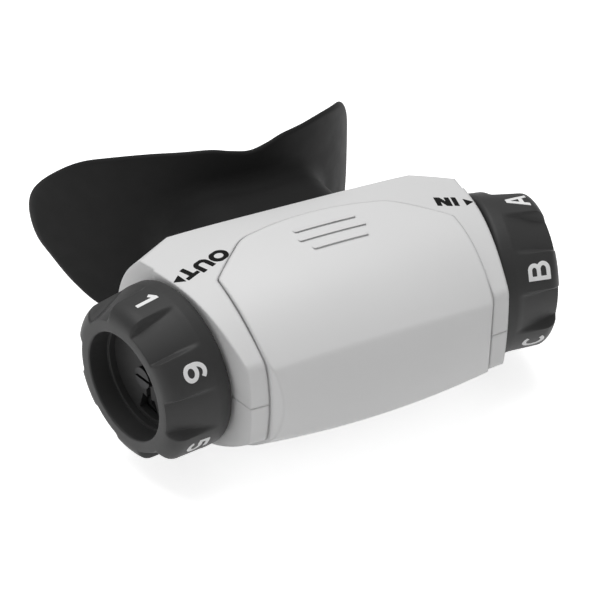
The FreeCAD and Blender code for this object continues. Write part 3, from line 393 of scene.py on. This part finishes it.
def makeDial(name, side):
    floorFront = dial["length"] - dial["cupDepth"]
    floorBack = floorFront - dial["floorThick"]
    ledgeTop = floorFront + dial["ledgeHeight"]
    # each corner of the profile: its radius, its height and its rounding
    profile = np.array([
        (dial["ledgeRadius"], floorBack, 0),
        (dial["ledgeRadius"], ledgeTop, dial["ledgeRound"]),
        (dial["cupRadius"], ledgeTop, dial["cupRound"]),
        (dial["cupRadius"], dial["length"], dial["rimRound"]),
        (dial["frontRadius"], dial["length"], dial["noseRound"]),
        (dial["radius"], dial["gripStart"], dial["flankRound"]),
        (dial["radius"], dial["backEdge"], dial["backRound"]),
        (dial["skirtRadius"], dial["backEdge"], dial["skirtRound"]),
        (dial["skirtRadius"], floorBack, dial["roomRound"])])
    loop = roundedLoop(profile[:, :2], profile[:, 2], dial["roundSteps"])
    radius, height = resampled(loop, dial["longestStep"]).T
    # columns stand closer where a recess begins and ends
    middle = padTurn / 2
    half = dial["gripAngle"] / 2
    edge = dial["gripEdge"]
    stops = [0, middle - half - edge, middle - half + edge,
             middle + half - edge, middle + half + edge, padTurn]
    sector = evenRuns(stops, (9, 8, 9, 8, 9))
    angle = np.radians(np.concatenate([sector + padTurn * k for k in range(dial["pads"])]))
    # a recess is a steeper cone than a pad: what stands out of it by d is drawn in by
    # b ln(1 + e^(d / b)), which is d well outside the cone, nothing well inside it, and leaves no edge
    depth = dial["gripSlope"] * np.clip(height - dial["gripStart"], 0, None)
    rim = dial["cupRadius"] + dial["rimWidth"]
    outside = (radius > rim) & (height > dial["gripStart"])
    blend = dial["gripBlend"]
    drawn = blend * np.logaddexp(0.0, (radius - padRadius(height) + depth) / blend)
    drawn = drawn * smoothStep((height - dial["gripStart"]) / dial["gripRise"]) * outside
    shaped = radius[None, :] - drawn * gripShare(angle)[:, None]
    points = onDial(side, angle[:, None], height, shaped)
    faces = gridFaces(len(angle), len(height), True, True)
    mesh = meshFrom(name, points, faces)
    faceOutwards(mesh)
    smoothUnder(mesh, dial["sharpAngle"])
    return addObject(name, mesh)


def makeDialFloor(name, side):
    # a flat disc in polar steps whose cells inside the keyhole are left out, thickened by Solidify
    beforeSlot = 2
    stops = [dial["boreRadius"], dial["slotStart"], dial["slotEnd"], dial["fanEnd"]]
    beyond = np.linspace(dial["fanEnd"], dial["ledgeRadius"] + dial["floorOverlap"], 4)
    radii = np.concatenate([evenRuns(stops, (beforeSlot, 7, 7)), beyond])
    slotAngle = np.arcsin(np.clip(dial["slotHalfWidth"] / radii, 0, 1))
    slotAngle = np.where(radii < dial["slotStart"], slotAngle[beforeSlot], slotAngle)
    slotAngle = np.where(radii > dial["slotEnd"], np.radians(dial["fanInnerAngle"]), slotAngle)
    narrowest = 0.02
    fan = np.maximum(np.radians(dial["fanHalfAngle"]), slotAngle + narrowest)
    inner = np.linspace(-1, 1, 7)
    outer = np.linspace(0, 1, 6)[1:]
    rest = np.linspace(0, 1, 60)[1:-1]
    rows = [slotAngle[:, None] * inner, slotAngle[:, None] + (fan - slotAngle)[:, None] * outer,
            fan[:, None] + (2 * math.pi - 2 * fan)[:, None] * rest,
            2 * math.pi - fan[:, None] + (fan - slotAngle)[:, None] * np.concatenate([[0], outer[:-1]])]
    # the hole faces downwards when position 1 stands at the top
    angle = np.concatenate(rows, axis=1) + math.pi
    columns = angle.shape[1]
    points = onDial(side, angle, dial["length"] - dial["cupDepth"], radii[:, None])
    faces = gridFaces(len(radii), columns, False, True)
    row = faces[:, 0] // columns
    column = faces[:, 0] % columns
    near = 1e-6
    inSlotRows = (radii[row] >= dial["slotStart"] - near) & (radii[row] < dial["slotEnd"] - near)
    inFanRows = (radii[row] >= dial["slotEnd"] - near) & (radii[row] < dial["fanEnd"] - near)
    inSlot = column < len(inner) - 1
    inFan = (column < len(inner) - 1 + len(outer)) | (column >= columns - len(outer))
    faces = faces[~((inSlotRows & inSlot) | (inFanRows & inFan))]
    mesh = meshFrom(name, *onlyUsed(points.reshape(-1, 3), faces))
    faceTowards(mesh, dialAxes(side)[1].tolist())
    floor = addObject(name, mesh)
    wall = floor.modifiers.new("wall", "SOLIDIFY")
    wall.thickness = dial["floorThick"] / 1000.0
    wall.offset = -1.0
    chamfer = floor.modifiers.new("chamfer", "BEVEL")
    chamfer.width = dial["floorChamfer"] / 1000.0
    chamfer.segments = 2
    chamfer.limit_method = "ANGLE"
    return floor


for side, end in ((-1, "out"), (1, "in")):
    cup = makeDial(end + "DialCup", side)
    finishPiece(cup, end + "_dial", finishes["dialBlack"], [end + "_dial"])
    floor = makeDialFloor(end + "DialFloor", side)
    finishPiece(floor, end + "_dial", finishes["dialBlack"], [end + "_dial"])
print("dials made")


# Lettering: a glyph is a union of straight and curved strokes. Of a fine grid's cells, those whose
# middle lies inside a stroke are kept, and their outer corners are moved on to the glyph's edge.

lettering = {
    "cell": 0.14, "reach": 3.4, "raise": 0.05, "outCentre": 7.7, "inCentre": 9.2,
    "numeralHalfHeight": 2.9, "numeralHalfStroke": 0.525, "wordHalfHeight": 2.18, "wordHalfStroke": 0.62,
    "fallFrom": 30.0,
    "outWord": [("O", -27.1, 4.0), ("U", -31.65, 2.65), ("T", -35.85, 1.95)], "outTurn": 21.0,
    "inWord": [("I", 35.5, 1.75), ("N", 32.5, 2.5)], "inTurn": -16.0,
    "pointer": [(40.05, 0.6), (38.1, 2.5), (37.4, -0.7)], "pointerSteps": 9, "pointerCut": 0.97,
}
# a bar has its two ends; an arc has its centre, its half width and height, its first angle and its span
numeralStrokes = {
    "1": [("bar", 0.55, -2.9, 0.55, 2.9), ("bar", -1.15, 1.45, 0.35, 2.35)],
    "2": [("arc", 0.0, 1.25, 1.6, 1.125, -38, 208), ("bar", 1.42, 0.72, -1.62, -2.2),
          ("bar", -2.1, -2.375, 2.1, -2.375)],
    "3": [("arc", -0.05, 1.31, 1.5, 1.065, -100, 255), ("arc", -0.05, -1.19, 1.65, 1.185, -160, 260),
          ("bar", -0.7, 0.12, 0.15, 0.12)],
    "4": [("bar", 0.85, -2.9, 0.85, 2.9), ("bar", -2.2, -1.2, 2.2, -1.2),
          ("bar", -2.0, -1.1, 0.72, 2.75)],
    "5": [("bar", -1.5, 2.375, 1.85, 2.375), ("bar", -1.3, 2.6, -1.62, -0.1),
          ("arc", 0.05, -0.95, 1.65, 1.425, -160, 300)],
    "6": [("arc", 0.0, -1.0, 1.65, 1.375, 0, 360), ("bar", -1.65, -1.0, -1.65, 0.05),
          ("arc", 0.3, 0.0, 1.95, 2.375, 52, 128)],
    "A": [("bar", -2.13, -3.5, -0.02, 3.5), ("bar", 2.13, -3.5, 0.02, 3.5),
          ("bar", -1.3, -1.05, 1.3, -1.05)],
    "B": [("bar", -1.6, -2.9, -1.6, 2.9), ("bar", -1.6, 2.375, 0.4, 2.375),
          ("bar", -1.6, 0.13, 0.5, 0.13), ("bar", -1.6, -2.375, 0.5, -2.375),
          ("arc", 0.35, 1.25, 1.25, 1.125, -90, 180),
          ("arc", 0.45, -1.12, 1.5, 1.255, -90, 180)],
    "C": [("arc", 0.1, 0.0, 2.0, 2.375, 48, 264)],
    "D": [("bar", -1.6, -2.9, -1.6, 2.9), ("bar", -1.6, 2.375, -0.1, 2.375),
          ("bar", -1.6, -2.375, -0.1, -2.375), ("arc", -0.2, 0.0, 2.0, 2.375, -90, 180)],
    "E": [("bar", -1.4, -2.9, -1.4, 2.9), ("bar", -1.4, 2.375, 1.8, 2.375), ("bar", -1.4, 0.1, 1.5, 0.1),
          ("bar", -1.4, -2.375, 1.8, -2.375)],
    "F": [("bar", -1.4, -2.9, -1.4, 2.9), ("bar", -1.4, 2.375, 1.8, 2.375), ("bar", -1.4, 0.0, 1.4, 0.0)],
}
wordStrokes = {
    "O": [("arc", 0.0, 0.0, 1.75, 1.73, 0, 360)],
    "U": [("bar", -1.4, -0.6, -1.4, 2.35), ("bar", 1.4, -0.6, 1.4, 2.35),
          ("arc", 0.0, -0.5, 1.4, 1.23, 180, 180)],
    "T": [("bar", 0.0, -2.35, 0.0, 2.35), ("bar", -1.85, 1.73, 1.85, 1.73)],
    "I": [("bar", 0.0, -2.35, 0.0, 2.35)],
    "N": [("bar", -1.3, -2.35, -1.3, 2.35), ("bar", 1.3, -2.35, 1.3, 2.35),
          ("bar", -1.6, 2.95, 1.6, -2.95)],
}


def strokeDistance(stroke, x, y, half):
    # signed distance to a stroke's edge, negative inside
    if stroke[0] == "bar":
        fromX, fromY, toX, toY = stroke[1:]
        length = math.hypot(toX - fromX, toY - fromY)
        alongX, alongY = (toX - fromX) / length, (toY - fromY) / length
        along = (x - fromX) * alongX + (y - fromY) * alongY
        across = (x - fromX) * alongY - (y - fromY) * alongX
        return np.maximum(np.abs(across) - half, np.abs(along - length / 2) - length / 2)
    middleX, middleY, halfWide, halfTall, first, span = stroke[1:]
    px, py = x - middleX, y - middleY
    # an ellipse's distance, near enough beside its line: its scaled radius less one, over its slope
    tiny = 1e-9
    scaled = np.hypot(px / halfWide, py / halfTall) + tiny
    slope = np.hypot(px / halfWide ** 2, py / halfTall ** 2) / scaled + tiny
    band = np.abs((scaled - 1) / slope) - half
    if span >= 360:
        return band
    start, stop = math.radians(first), math.radians(first + span)
    before = math.sin(start) * px - math.cos(start) * py
    after = math.cos(stop) * py - math.sin(stop) * px
    wedge = np.maximum(before, after) if span <= 180 else np.minimum(before, after)
    return np.maximum(band, wedge)


def glyphCells(strokes, halfHeight, half):
    # the points and the cells of a flat glyph, in millimetres about its middle; a point on its border is
    # moved down the slope of the distance by the distance over the slope, four times
    def distance(x, y):
        nearest = np.min([strokeDistance(stroke, x, y, half) for stroke in strokes], axis=0)
        return np.maximum(nearest, np.abs(y) - halfHeight)

    step = lettering["cell"]
    line = np.arange(-lettering["reach"], lettering["reach"], step)
    x, y = np.meshgrid(line, line, indexing="ij")
    inside = distance(x[:-1, :-1] + step / 2, y[:-1, :-1] + step / 2) < 0
    faces = gridFaces(len(line), len(line), False, False)[inside.ravel()]
    used = np.bincount(faces.ravel(), minlength=x.size)
    points = np.stack([x.ravel(), y.ravel()], -1)
    border = (used > 0) & (used < 4)
    spots = points[border]
    small = 0.001
    for _ in range(4):
        here = distance(spots[:, 0], spots[:, 1])
        slopeX = (distance(spots[:, 0] + small, spots[:, 1]) - here) / small
        slopeY = (distance(spots[:, 0], spots[:, 1] + small) - here) / small
        pull = here / (slopeX ** 2 + slopeY ** 2 + small ** 2)
        spots = spots - np.stack([slopeX, slopeY], -1) * pull[:, None]
    points[border] = spots
    return onlyUsed(points, faces)


def thicken(piece):
    wall = piece.modifiers.new("wall", "SOLIDIFY")
    wall.thickness = lettering["raise"] * 2 / 1000.0
    wall.offset = 0.0


def makeNumeral(side, end, text, position):
    # across goes round the pad, and up goes towards the body
    name = end + "Numeral" + text
    half = lettering["numeralHalfStroke"]
    flat, faces = glyphCells(numeralStrokes[text], lettering["numeralHalfHeight"], half)
    middle = lettering["outCentre"] if side < 0 else lettering["inCentre"]
    height = middle - flat[:, 1]
    radius = padRadius(height)
    # a glyph's right is round to the front on the left end, and round to the rear on the right end
    padAngle = math.radians(padTurn * position)
    angle = padAngle - side * flat[:, 0] / radius
    mesh = meshFrom(name, onDial(side, angle, height, radius), faces)
    ray = onDial(side, padAngle, 0.0, 1.0) - dialAxes(side)[0]
    faceTowards(mesh, ray.tolist())
    piece = addObject(name, mesh)
    thicken(piece)
    finishPiece(piece, end + "_dial", finishes["numeralWhite"])


for position in range(dial["pads"]):
    makeNumeral(-1, "out", "165432"[position], position)
    makeNumeral(1, "in", "ABCDEF"[position], position)
print("numerals made")


# Mouthpiece: rings carried from the neck, over the lip shield, to the gum flange and back inside

mouth = {
    "shieldFront": 41.9, "shieldBow": 35.0, "sweepStart": 30.0, "sweepRadius": 48.0, "shieldThick": 1.7,
    "neckStart": 24.6, "neckHalfWidth": 23.7, "neckHalfHeight": 15.3, "neckRound": 14.3, "neckFlare": 4.0,
    "neckLip": 1.0,
    "roomHalfWidth": 21.7, "roomHalfHeight": 13.3, "roomRound": 12.3, "roomEnd": 40.3,
    "tubeHalfWidth": 19.4, "tubeHalfHeight": 9.9, "tubeRound": 9.4, "tubeFlare": 2.2,
    "flangeFront": 52.0, "flangeBow": 22.5, "flangeThick": 1.8, "flangeHalfWidth": 27.0,
    "flangeHalfHeight": 11.5, "flangeRound": 11.0, "flangeFlare": 1.0, "flangeLeast": 0.05,
    "airwayHalfWidth": 17.0, "airwayHalfHeight": 7.5, "airwayRound": 7.0, "airwayEdge": 0.5,
    "around": 360, "sharpAngle": 50.0,
}
# the right half of the lip shield's outline, from the notch at the top to the middle of the bottom edge
shieldOutline = np.array([
    (0, 24.5), (5, 25.3), (10, 26.3), (16, 26.1), (24, 25.2), (32, 23.0), (38, 19.9),
    (43.2, 14.2), (46.6, 8.0), (47.7, 1.5), (46.9, -6.0), (44.4, -11.4), (41.0, -17.2),
    (36.5, -22.0), (30, -24.6), (22, -26.0), (14, -26.2), (7, -25.6), (0, -24.6)])


def shieldDepth(x):
    # how far back the shield's front stands: it bows by x^2 / 2R, and past the sweep's start, where p is
    # how far past, by p^2 / 2S more
    past = np.clip(np.abs(x) - mouth["sweepStart"], 0, None)
    bow = x ** 2 / (2 * mouth["shieldBow"])
    return mouth["shieldFront"] + bow + past ** 2 / (2 * mouth["sweepRadius"])


def shieldSlope(x):
    # the slope of shieldDepth
    past = np.clip(np.abs(x) - mouth["sweepStart"], 0, None)
    return x / mouth["shieldBow"] + np.sign(x) * past / mouth["sweepRadius"]


def shieldBack(x):
    # the same thickness everywhere, so more depth where the shield slopes
    return shieldDepth(x) + mouth["shieldThick"] * np.sqrt(1 + shieldSlope(x) ** 2)


def flangeDepth(x):
    # the gum flange's front: it bows by x^2 / 2R
    return mouth["flangeFront"] + x ** 2 / (2 * mouth["flangeBow"])


def flangeBack(x):
    return flangeDepth(x) + mouth["flangeThick"] * np.sqrt(1 + (x / mouth["flangeBow"]) ** 2)


def closedSpline(points, count):
    # a smooth closed curve through the points: periodic Catmull-Rom, then even steps along its length
    n = len(points)
    t = np.linspace(0, n, 40 * n, endpoint=False)
    k = t.astype(int)
    f = (t - k)[:, None]
    p0, p1, p2, p3 = (points[(k + d) % n] for d in (-1, 0, 1, 2))
    curve = 0.5 * (2 * p1 + (p2 - p0) * f + (2 * p0 - 5 * p1 + 4 * p2 - p3) * f ** 2
                   + (3 * p1 - p0 - 3 * p2 + p3) * f ** 3)
    closed = np.concatenate([curve, curve[:1]])
    run = np.concatenate([[0], np.cumsum(np.linalg.norm(np.diff(closed, axis=0), axis=1))])
    even = np.linspace(0, run[-1], count, endpoint=False)
    return np.stack([np.interp(even, run, closed[:, axis]) for axis in (0, 1)], -1)


def ovalReach(halfWidth, halfHeight, corner, angle):
    # how far a rounded rectangle's edge is from its centre, by steps outwards until the distance to
    # the edge is nought
    direction = np.stack([np.abs(np.cos(angle)), np.abs(np.sin(angle))], -1)
    inner = np.array([halfWidth - corner, halfHeight - corner])
    reach = np.zeros_like(angle)
    for _ in range(60):
        q = direction * reach[:, None] - inner
        outside = np.linalg.norm(np.clip(q, 0, None), axis=1) + np.minimum(q.max(axis=1), 0)
        reach = reach - (outside - corner)
    return reach


def makeMouthpiece():
    # each ring goes all round the axis: at every angle it has a distance from the axis and a depth
    half = shieldOutline[1:-1]
    loop = np.concatenate([shieldOutline, np.stack([-half[::-1, 0], half[::-1, 1]], -1)])
    outline = closedSpline(loop, mouth["around"])
    angle = np.arctan2(outline[:, 1], outline[:, 0])
    rim = np.hypot(outline[:, 0], outline[:, 1])
    cosine, sine = np.cos(angle), np.sin(angle)
    neck = ovalReach(mouth["neckHalfWidth"], mouth["neckHalfHeight"], mouth["neckRound"], angle)
    room = ovalReach(mouth["roomHalfWidth"], mouth["roomHalfHeight"], mouth["roomRound"], angle)
    tube = ovalReach(mouth["tubeHalfWidth"], mouth["tubeHalfHeight"], mouth["tubeRound"], angle)
    flange = ovalReach(mouth["flangeHalfWidth"], mouth["flangeHalfHeight"], mouth["flangeRound"], angle)
    airway = ovalReach(mouth["airwayHalfWidth"], mouth["airwayHalfHeight"], mouth["airwayRound"], angle)
    rings = []

    def ring(reach, depth):
        rings.append(np.stack([reach * cosine, depth + 0 * angle, reach * sine], -1))

    def straight(reach, start, stop, shares):
        # along the axis, at one distance from it
        for share in shares:
            ring(reach, start + (stop - start) * share)

    def across(first, last, shares, depthOf):
        # over a face, from one distance to another
        for share in shares:
            reach = first + (last - first) * share
            ring(reach, depthOf(reach * cosine))

    def flareOut(start, flare, turns, depthOf, side):
        # a quarter circle between a tube and a face, in front of the face or, with side 1, behind it
        for turn in turns:
            reach = start + flare * (1 - math.cos(turn))
            ring(reach, depthOf(reach * cosine) + side * flare * (1 - math.sin(turn)))

    def roundRim(start, bead, frontOf, backOf):
        # half a circle from a face's front to its rear, stretched to the thickness there
        for turn in np.linspace(-math.pi / 2, math.pi / 2, 9)[1:-1]:
            reach = start + bead * math.cos(turn)
            front, rear = frontOf(reach * cosine), backOf(reach * cosine)
            ring(reach, front + (rear - front) * (1 + math.sin(turn)) / 2)

    # neck: rounded front lip, then straight back to the flare
    lipEnd = mouth["neckStart"] + mouth["neckLip"]
    for turn in np.linspace(-math.pi / 2, math.pi / 2, 9):
        reach = (neck + room) / 2 + (neck - room) / 2 * math.sin(turn)
        ring(reach, lipEnd - mouth["neckLip"] * math.cos(turn))
    flare = mouth["neckFlare"]
    straight(neck, lipEnd, shieldDepth((neck + flare) * cosine) - flare, np.linspace(0, 1, 8)[1:-1])
    flareOut(neck, flare, np.linspace(0, math.pi / 2, 9), shieldDepth, -1)
    # front of the shield, its rounded rim and its rear
    bead = mouth["shieldThick"] / 2
    across(neck + flare, rim - bead, np.linspace(0, 1, 20)[1:], shieldDepth)
    roundRim(rim - bead, bead, shieldDepth, shieldBack)
    fillet = mouth["tubeFlare"]
    across(tube + fillet, rim - bead, np.linspace(1, 0, 22), shieldBack)
    flareOut(tube, fillet, np.linspace(math.pi / 2, 0, 7)[1:], shieldBack, 1)
    # lip tube, gum flange, its rounded rim and its rear
    curl = mouth["flangeFlare"]
    straight(tube, shieldBack(tube * cosine) + fillet, flangeDepth(tube * cosine) - curl, (0.33, 0.66))
    flareOut(tube, curl, np.linspace(0, math.pi / 2, 6), flangeDepth, -1)
    bead = mouth["flangeThick"] / 2
    rimStart = np.maximum(flange - bead, tube + curl + mouth["flangeLeast"])
    across(tube + curl, rimStart, np.linspace(0, 1, 6)[1:], flangeDepth)
    roundRim(rimStart, bead, flangeDepth, flangeBack)
    edge = mouth["airwayEdge"]
    across(airway + edge, rimStart, np.linspace(1, 0, 8), flangeBack)
    # the airway's edge, broken in two steps, and down the airway
    ring(airway + 0.2 * edge, flangeBack(airway * cosine) - 0.3 * edge)
    straight(airway, flangeBack(airway * cosine) - edge, mouth["roomEnd"], np.linspace(0, 1, 8))
    # across the step to the spigot's room, and forward to the front lip
    for share in (0.5, 1.0):
        ring(airway + (room - airway) * share, mouth["roomEnd"])
    straight(room, mouth["roomEnd"], lipEnd, (0.33, 0.66))
    points = np.stack(rings)
    mesh = meshFrom("mouthShield", points, gridFaces(len(rings), mouth["around"], True, True))
    faceOutwards(mesh)
    smoothUnder(mesh, mouth["sharpAngle"])
    return addObject("mouthShield", mesh)


biteLug = {
    "inner": 16.0, "outer": 24.0, "end": 71.0, "thick": 4.0, "sunk": 1.0,
    "edgePower": 0.45, "cornerPower": 0.3, "sharpAngle": 60.0,
}


def makeLug(name, side):
    # a rounded block: a superellipsoid whose three half sizes are half the lug's width, depth and height
    u = np.linspace(-math.pi, math.pi, 64, endpoint=False)
    v = np.linspace(-math.pi / 2, math.pi / 2, 33)[1:-1]
    u, v = np.meshgrid(u, v)

    def signedPower(value, power):
        return np.sign(value) * np.abs(value) ** power

    level = signedPower(np.cos(v), biteLug["edgePower"])
    x = level * signedPower(np.cos(u), biteLug["cornerPower"])
    y = level * signedPower(np.sin(u), biteLug["cornerPower"])
    z = signedPower(np.sin(v), biteLug["edgePower"])
    inner, outer, far = biteLug["inner"], biteLug["outer"], biteLug["end"]
    near = flangeDepth(inner) - biteLug["sunk"]
    centre = np.array([side * (inner + outer) / 2, (near + far) / 2, 0])
    halves = np.array([(outer - inner) / 2, (far - near) / 2, biteLug["thick"] / 2])
    points = centre + np.stack([x, y, z], -1) * halves
    rows, columns = points.shape[:2]
    faces = gridFaces(rows, columns, False, True).tolist()
    poles = [list(range(columns)), list(range((rows - 1) * columns, rows * columns))]
    mesh = bpy.data.meshes.new(name)
    mesh.from_pydata(toFrame(points.reshape(-1, 3)).tolist(), [], faces + poles)
    faceOutwards(mesh)
    smoothUnder(mesh, biteLug["sharpAngle"])
    return addObject(name, mesh)


shield = makeMouthpiece()
finishPiece(shield, "mouthpiece", finishes["mouthSilicone"], ["mouthpiece"])
for side, name in ((-1, "outBiteLug"), (1, "inBiteLug")):
    lug = makeLug(name, side)
    finishPiece(lug, "mouthpiece", finishes["mouthSilicone"], ["mouthpiece"])
print("mouthpiece made")


# Words and pointers on the body: laid flat above the crown, then dropped on to the housing

def dropOnHousing(name, flat, faces):
    # every point falls straight down and stops on the upper housing
    points = np.concatenate([flat, np.full((len(flat), 1), lettering["fallFrom"])], axis=1)
    mesh = meshFrom(name, points, faces)
    faceTowards(mesh, (0, 0, 1))
    piece = addObject(name, mesh)
    fall = piece.modifiers.new("fall", "SHRINKWRAP")
    fall.target = nodes["upper_housing"]
    fall.wrap_method = "PROJECT"
    fall.use_project_z = True
    fall.use_negative_direction = True
    fall.use_positive_direction = False
    bpy.context.view_layer.update()
    fallen = piece.evaluated_get(bpy.context.evaluated_depsgraph_get())
    piece.data = bpy.data.meshes.new_from_object(fallen)
    piece.modifiers.clear()
    thicken(piece)
    finishPiece(piece, "airflow_unit", finishes["letteringBlack"])


def layWord(name, word, turn):
    # read from the user's side: right is -X and up is -Y, turned a little to follow the dial
    turn = math.radians(turn)
    right = np.array([-math.cos(turn), -math.sin(turn)])
    up = np.array([math.sin(turn), -math.cos(turn)])
    halfHeight, half = lettering["wordHalfHeight"], lettering["wordHalfStroke"]
    for text, x, y in word:
        flat, faces = glyphCells(wordStrokes[text], halfHeight, half)
        placed = np.array([x, y]) + flat[:, :1] * right + flat[:, 1:] * up
        dropOnHousing(name + text, placed, faces)


def layPointer(name, side):
    # a triangle in rows of cells from its base to just short of its tip, so that it follows the crown
    tip, rear, front = (np.array([side * x, y]) for x, y in lettering["pointer"])
    steps = lettering["pointerSteps"]
    along = np.linspace(0, lettering["pointerCut"], steps)
    along, across = np.meshgrid(along, np.linspace(0, 1, steps), indexing="ij")
    base = rear + (front - rear) * across[..., None]
    flat = base + (tip - base) * along[..., None]
    dropOnHousing(name, flat.reshape(-1, 2), gridFaces(steps, steps, False, False))


layWord("outWord", lettering["outWord"], lettering["outTurn"])
layWord("inWord", lettering["inWord"], lettering["inTurn"])
layPointer("outPointer", -1)
layPointer("inPointer", 1)
print("words made")


# Stage: floor, world, lights and camera

studio = {
    "floorHalfSize": 6.0, "floorTone": 0.80, "floorGlow": 0.74,
    "floorRoughness": 0.9, "floorSpecular": 0.1, "worldLevel": 0.36, "aim": (0, 0, 0.02),
}
lamps = {
    "overhead": {"place": (-0.1, 0.25, 1.1), "size": 1.0, "energy": 8.2},
    "frontFill": {"place": (0.5, -1.2, 0.7), "size": 0.9, "energy": 0.2},
    "sideFill": {"place": (-1.2, -0.3, 0.5), "size": 0.8, "energy": 0.9},
}


def makeFloor():
    mesh = bpy.data.meshes.new("floor")
    h = studio["floorHalfSize"]
    mesh.from_pydata([(-h, -h, 0), (h, -h, 0), (h, h, 0), (-h, h, 0)], [], [(0, 1, 2, 3)])
    floor = addObject("floor", mesh)
    material = bpy.data.materials.new("floorPale")
    material.use_nodes = True
    tree = material.node_tree
    shader = tree.nodes["Principled BSDF"]
    shader.inputs["Base Color"].default_value = (studio["floorTone"],) * 3 + (1.0,)
    shader.inputs["Roughness"].default_value = studio["floorRoughness"]
    shader.inputs["Specular IOR Level"].default_value = studio["floorSpecular"]
    # camera, mirror and glass rays see a glow on top, which lifts the lit floor to white and keeps
    # the shadow
    rays = tree.nodes.new("ShaderNodeLightPath")
    seen = mathNode(tree, "MAXIMUM", rays.outputs["Is Camera Ray"], rays.outputs["Is Glossy Ray"])
    seen = mathNode(tree, "MAXIMUM", seen, rays.outputs["Is Transmission Ray"])
    glow = tree.nodes.new("ShaderNodeEmission")
    tree.links.new(mathNode(tree, "MULTIPLY", seen, studio["floorGlow"]), glow.inputs["Strength"])
    both = tree.nodes.new("ShaderNodeAddShader")
    tree.links.new(shader.outputs[0], both.inputs[0])
    tree.links.new(glow.outputs[0], both.inputs[1])
    tree.links.new(both.outputs[0], tree.nodes["Material Output"].inputs["Surface"])
    mesh.materials.append(material)


def makeWorld():
    # white for the camera, and a plain even level for everything else
    world = bpy.data.worlds.new("studio")
    bpy.context.scene.world = world
    world.use_nodes = True
    tree = world.node_tree
    background = tree.nodes["Background"]
    rays = tree.nodes.new("ShaderNodeLightPath")
    level = tree.nodes.new("ShaderNodeMix")
    level.inputs["A"].default_value = studio["worldLevel"]
    level.inputs["B"].default_value = 1.0
    tree.links.new(rays.outputs["Is Camera Ray"], level.inputs["Factor"])
    tree.links.new(level.outputs["Result"], background.inputs["Strength"])
    background.inputs["Color"].default_value = (1.0, 1.0, 1.0, 1.0)


def makeLight(name, lamp):
    data = bpy.data.lights.new(name, "AREA")
    data.shape = "SQUARE"
    data.size = lamp["size"]
    data.energy = lamp["energy"]
    light = addObject(name, data)
    light.location = lamp["place"]
    light.rotation_mode = "QUATERNION"
    light.rotation_quaternion = (Vector(lamp["place"]) - Vector(studio["aim"])).to_track_quat("Z", "Y")


# degrees, millimetres and pixels, from the camera fit to the photo; the clip distances are in metres
view = {
    "azimuth": -27.545, "elevation": 32.91, "focalPixels": 1682.2, "distance": 406.67,
    "across": 7.163, "above": -3.317, "imageWidth": 600, "sensorWidth": 36.0,
    "clipStart": 0.02, "clipEnd": 50.0,
}


def makeCamera():
    # the eye stands back from the model's middle along the line of sight, then shifts across and up
    a, e = math.radians(view["azimuth"]), math.radians(view["elevation"])
    back = np.array([math.sin(a) * math.cos(e), -math.cos(a) * math.cos(e), math.sin(e)])
    right = np.array([math.cos(a), math.sin(a), 0.0])
    up = np.cross(back, right)
    eye = back * view["distance"] - right * view["across"] - up * view["above"]
    data = bpy.data.cameras.new("camera")
    data.sensor_width = view["sensorWidth"]
    data.lens = view["focalPixels"] / view["imageWidth"] * data.sensor_width
    data.clip_start = view["clipStart"]
    data.clip_end = view["clipEnd"]
    camera = addObject("camera", data)
    pose = np.eye(4)
    pose[:3, :3] = np.stack([right, up, back], axis=1)
    pose[:3, 3] = toFrame(eye)
    camera.matrix_world = Matrix(pose.tolist())
    bpy.context.scene.camera = camera


makeFloor()
makeWorld()
for name, lamp in lamps.items():
    makeLight(name, lamp)
makeCamera()
bpy.context.scene.view_settings.view_transform = "Standard"
print("stage made")
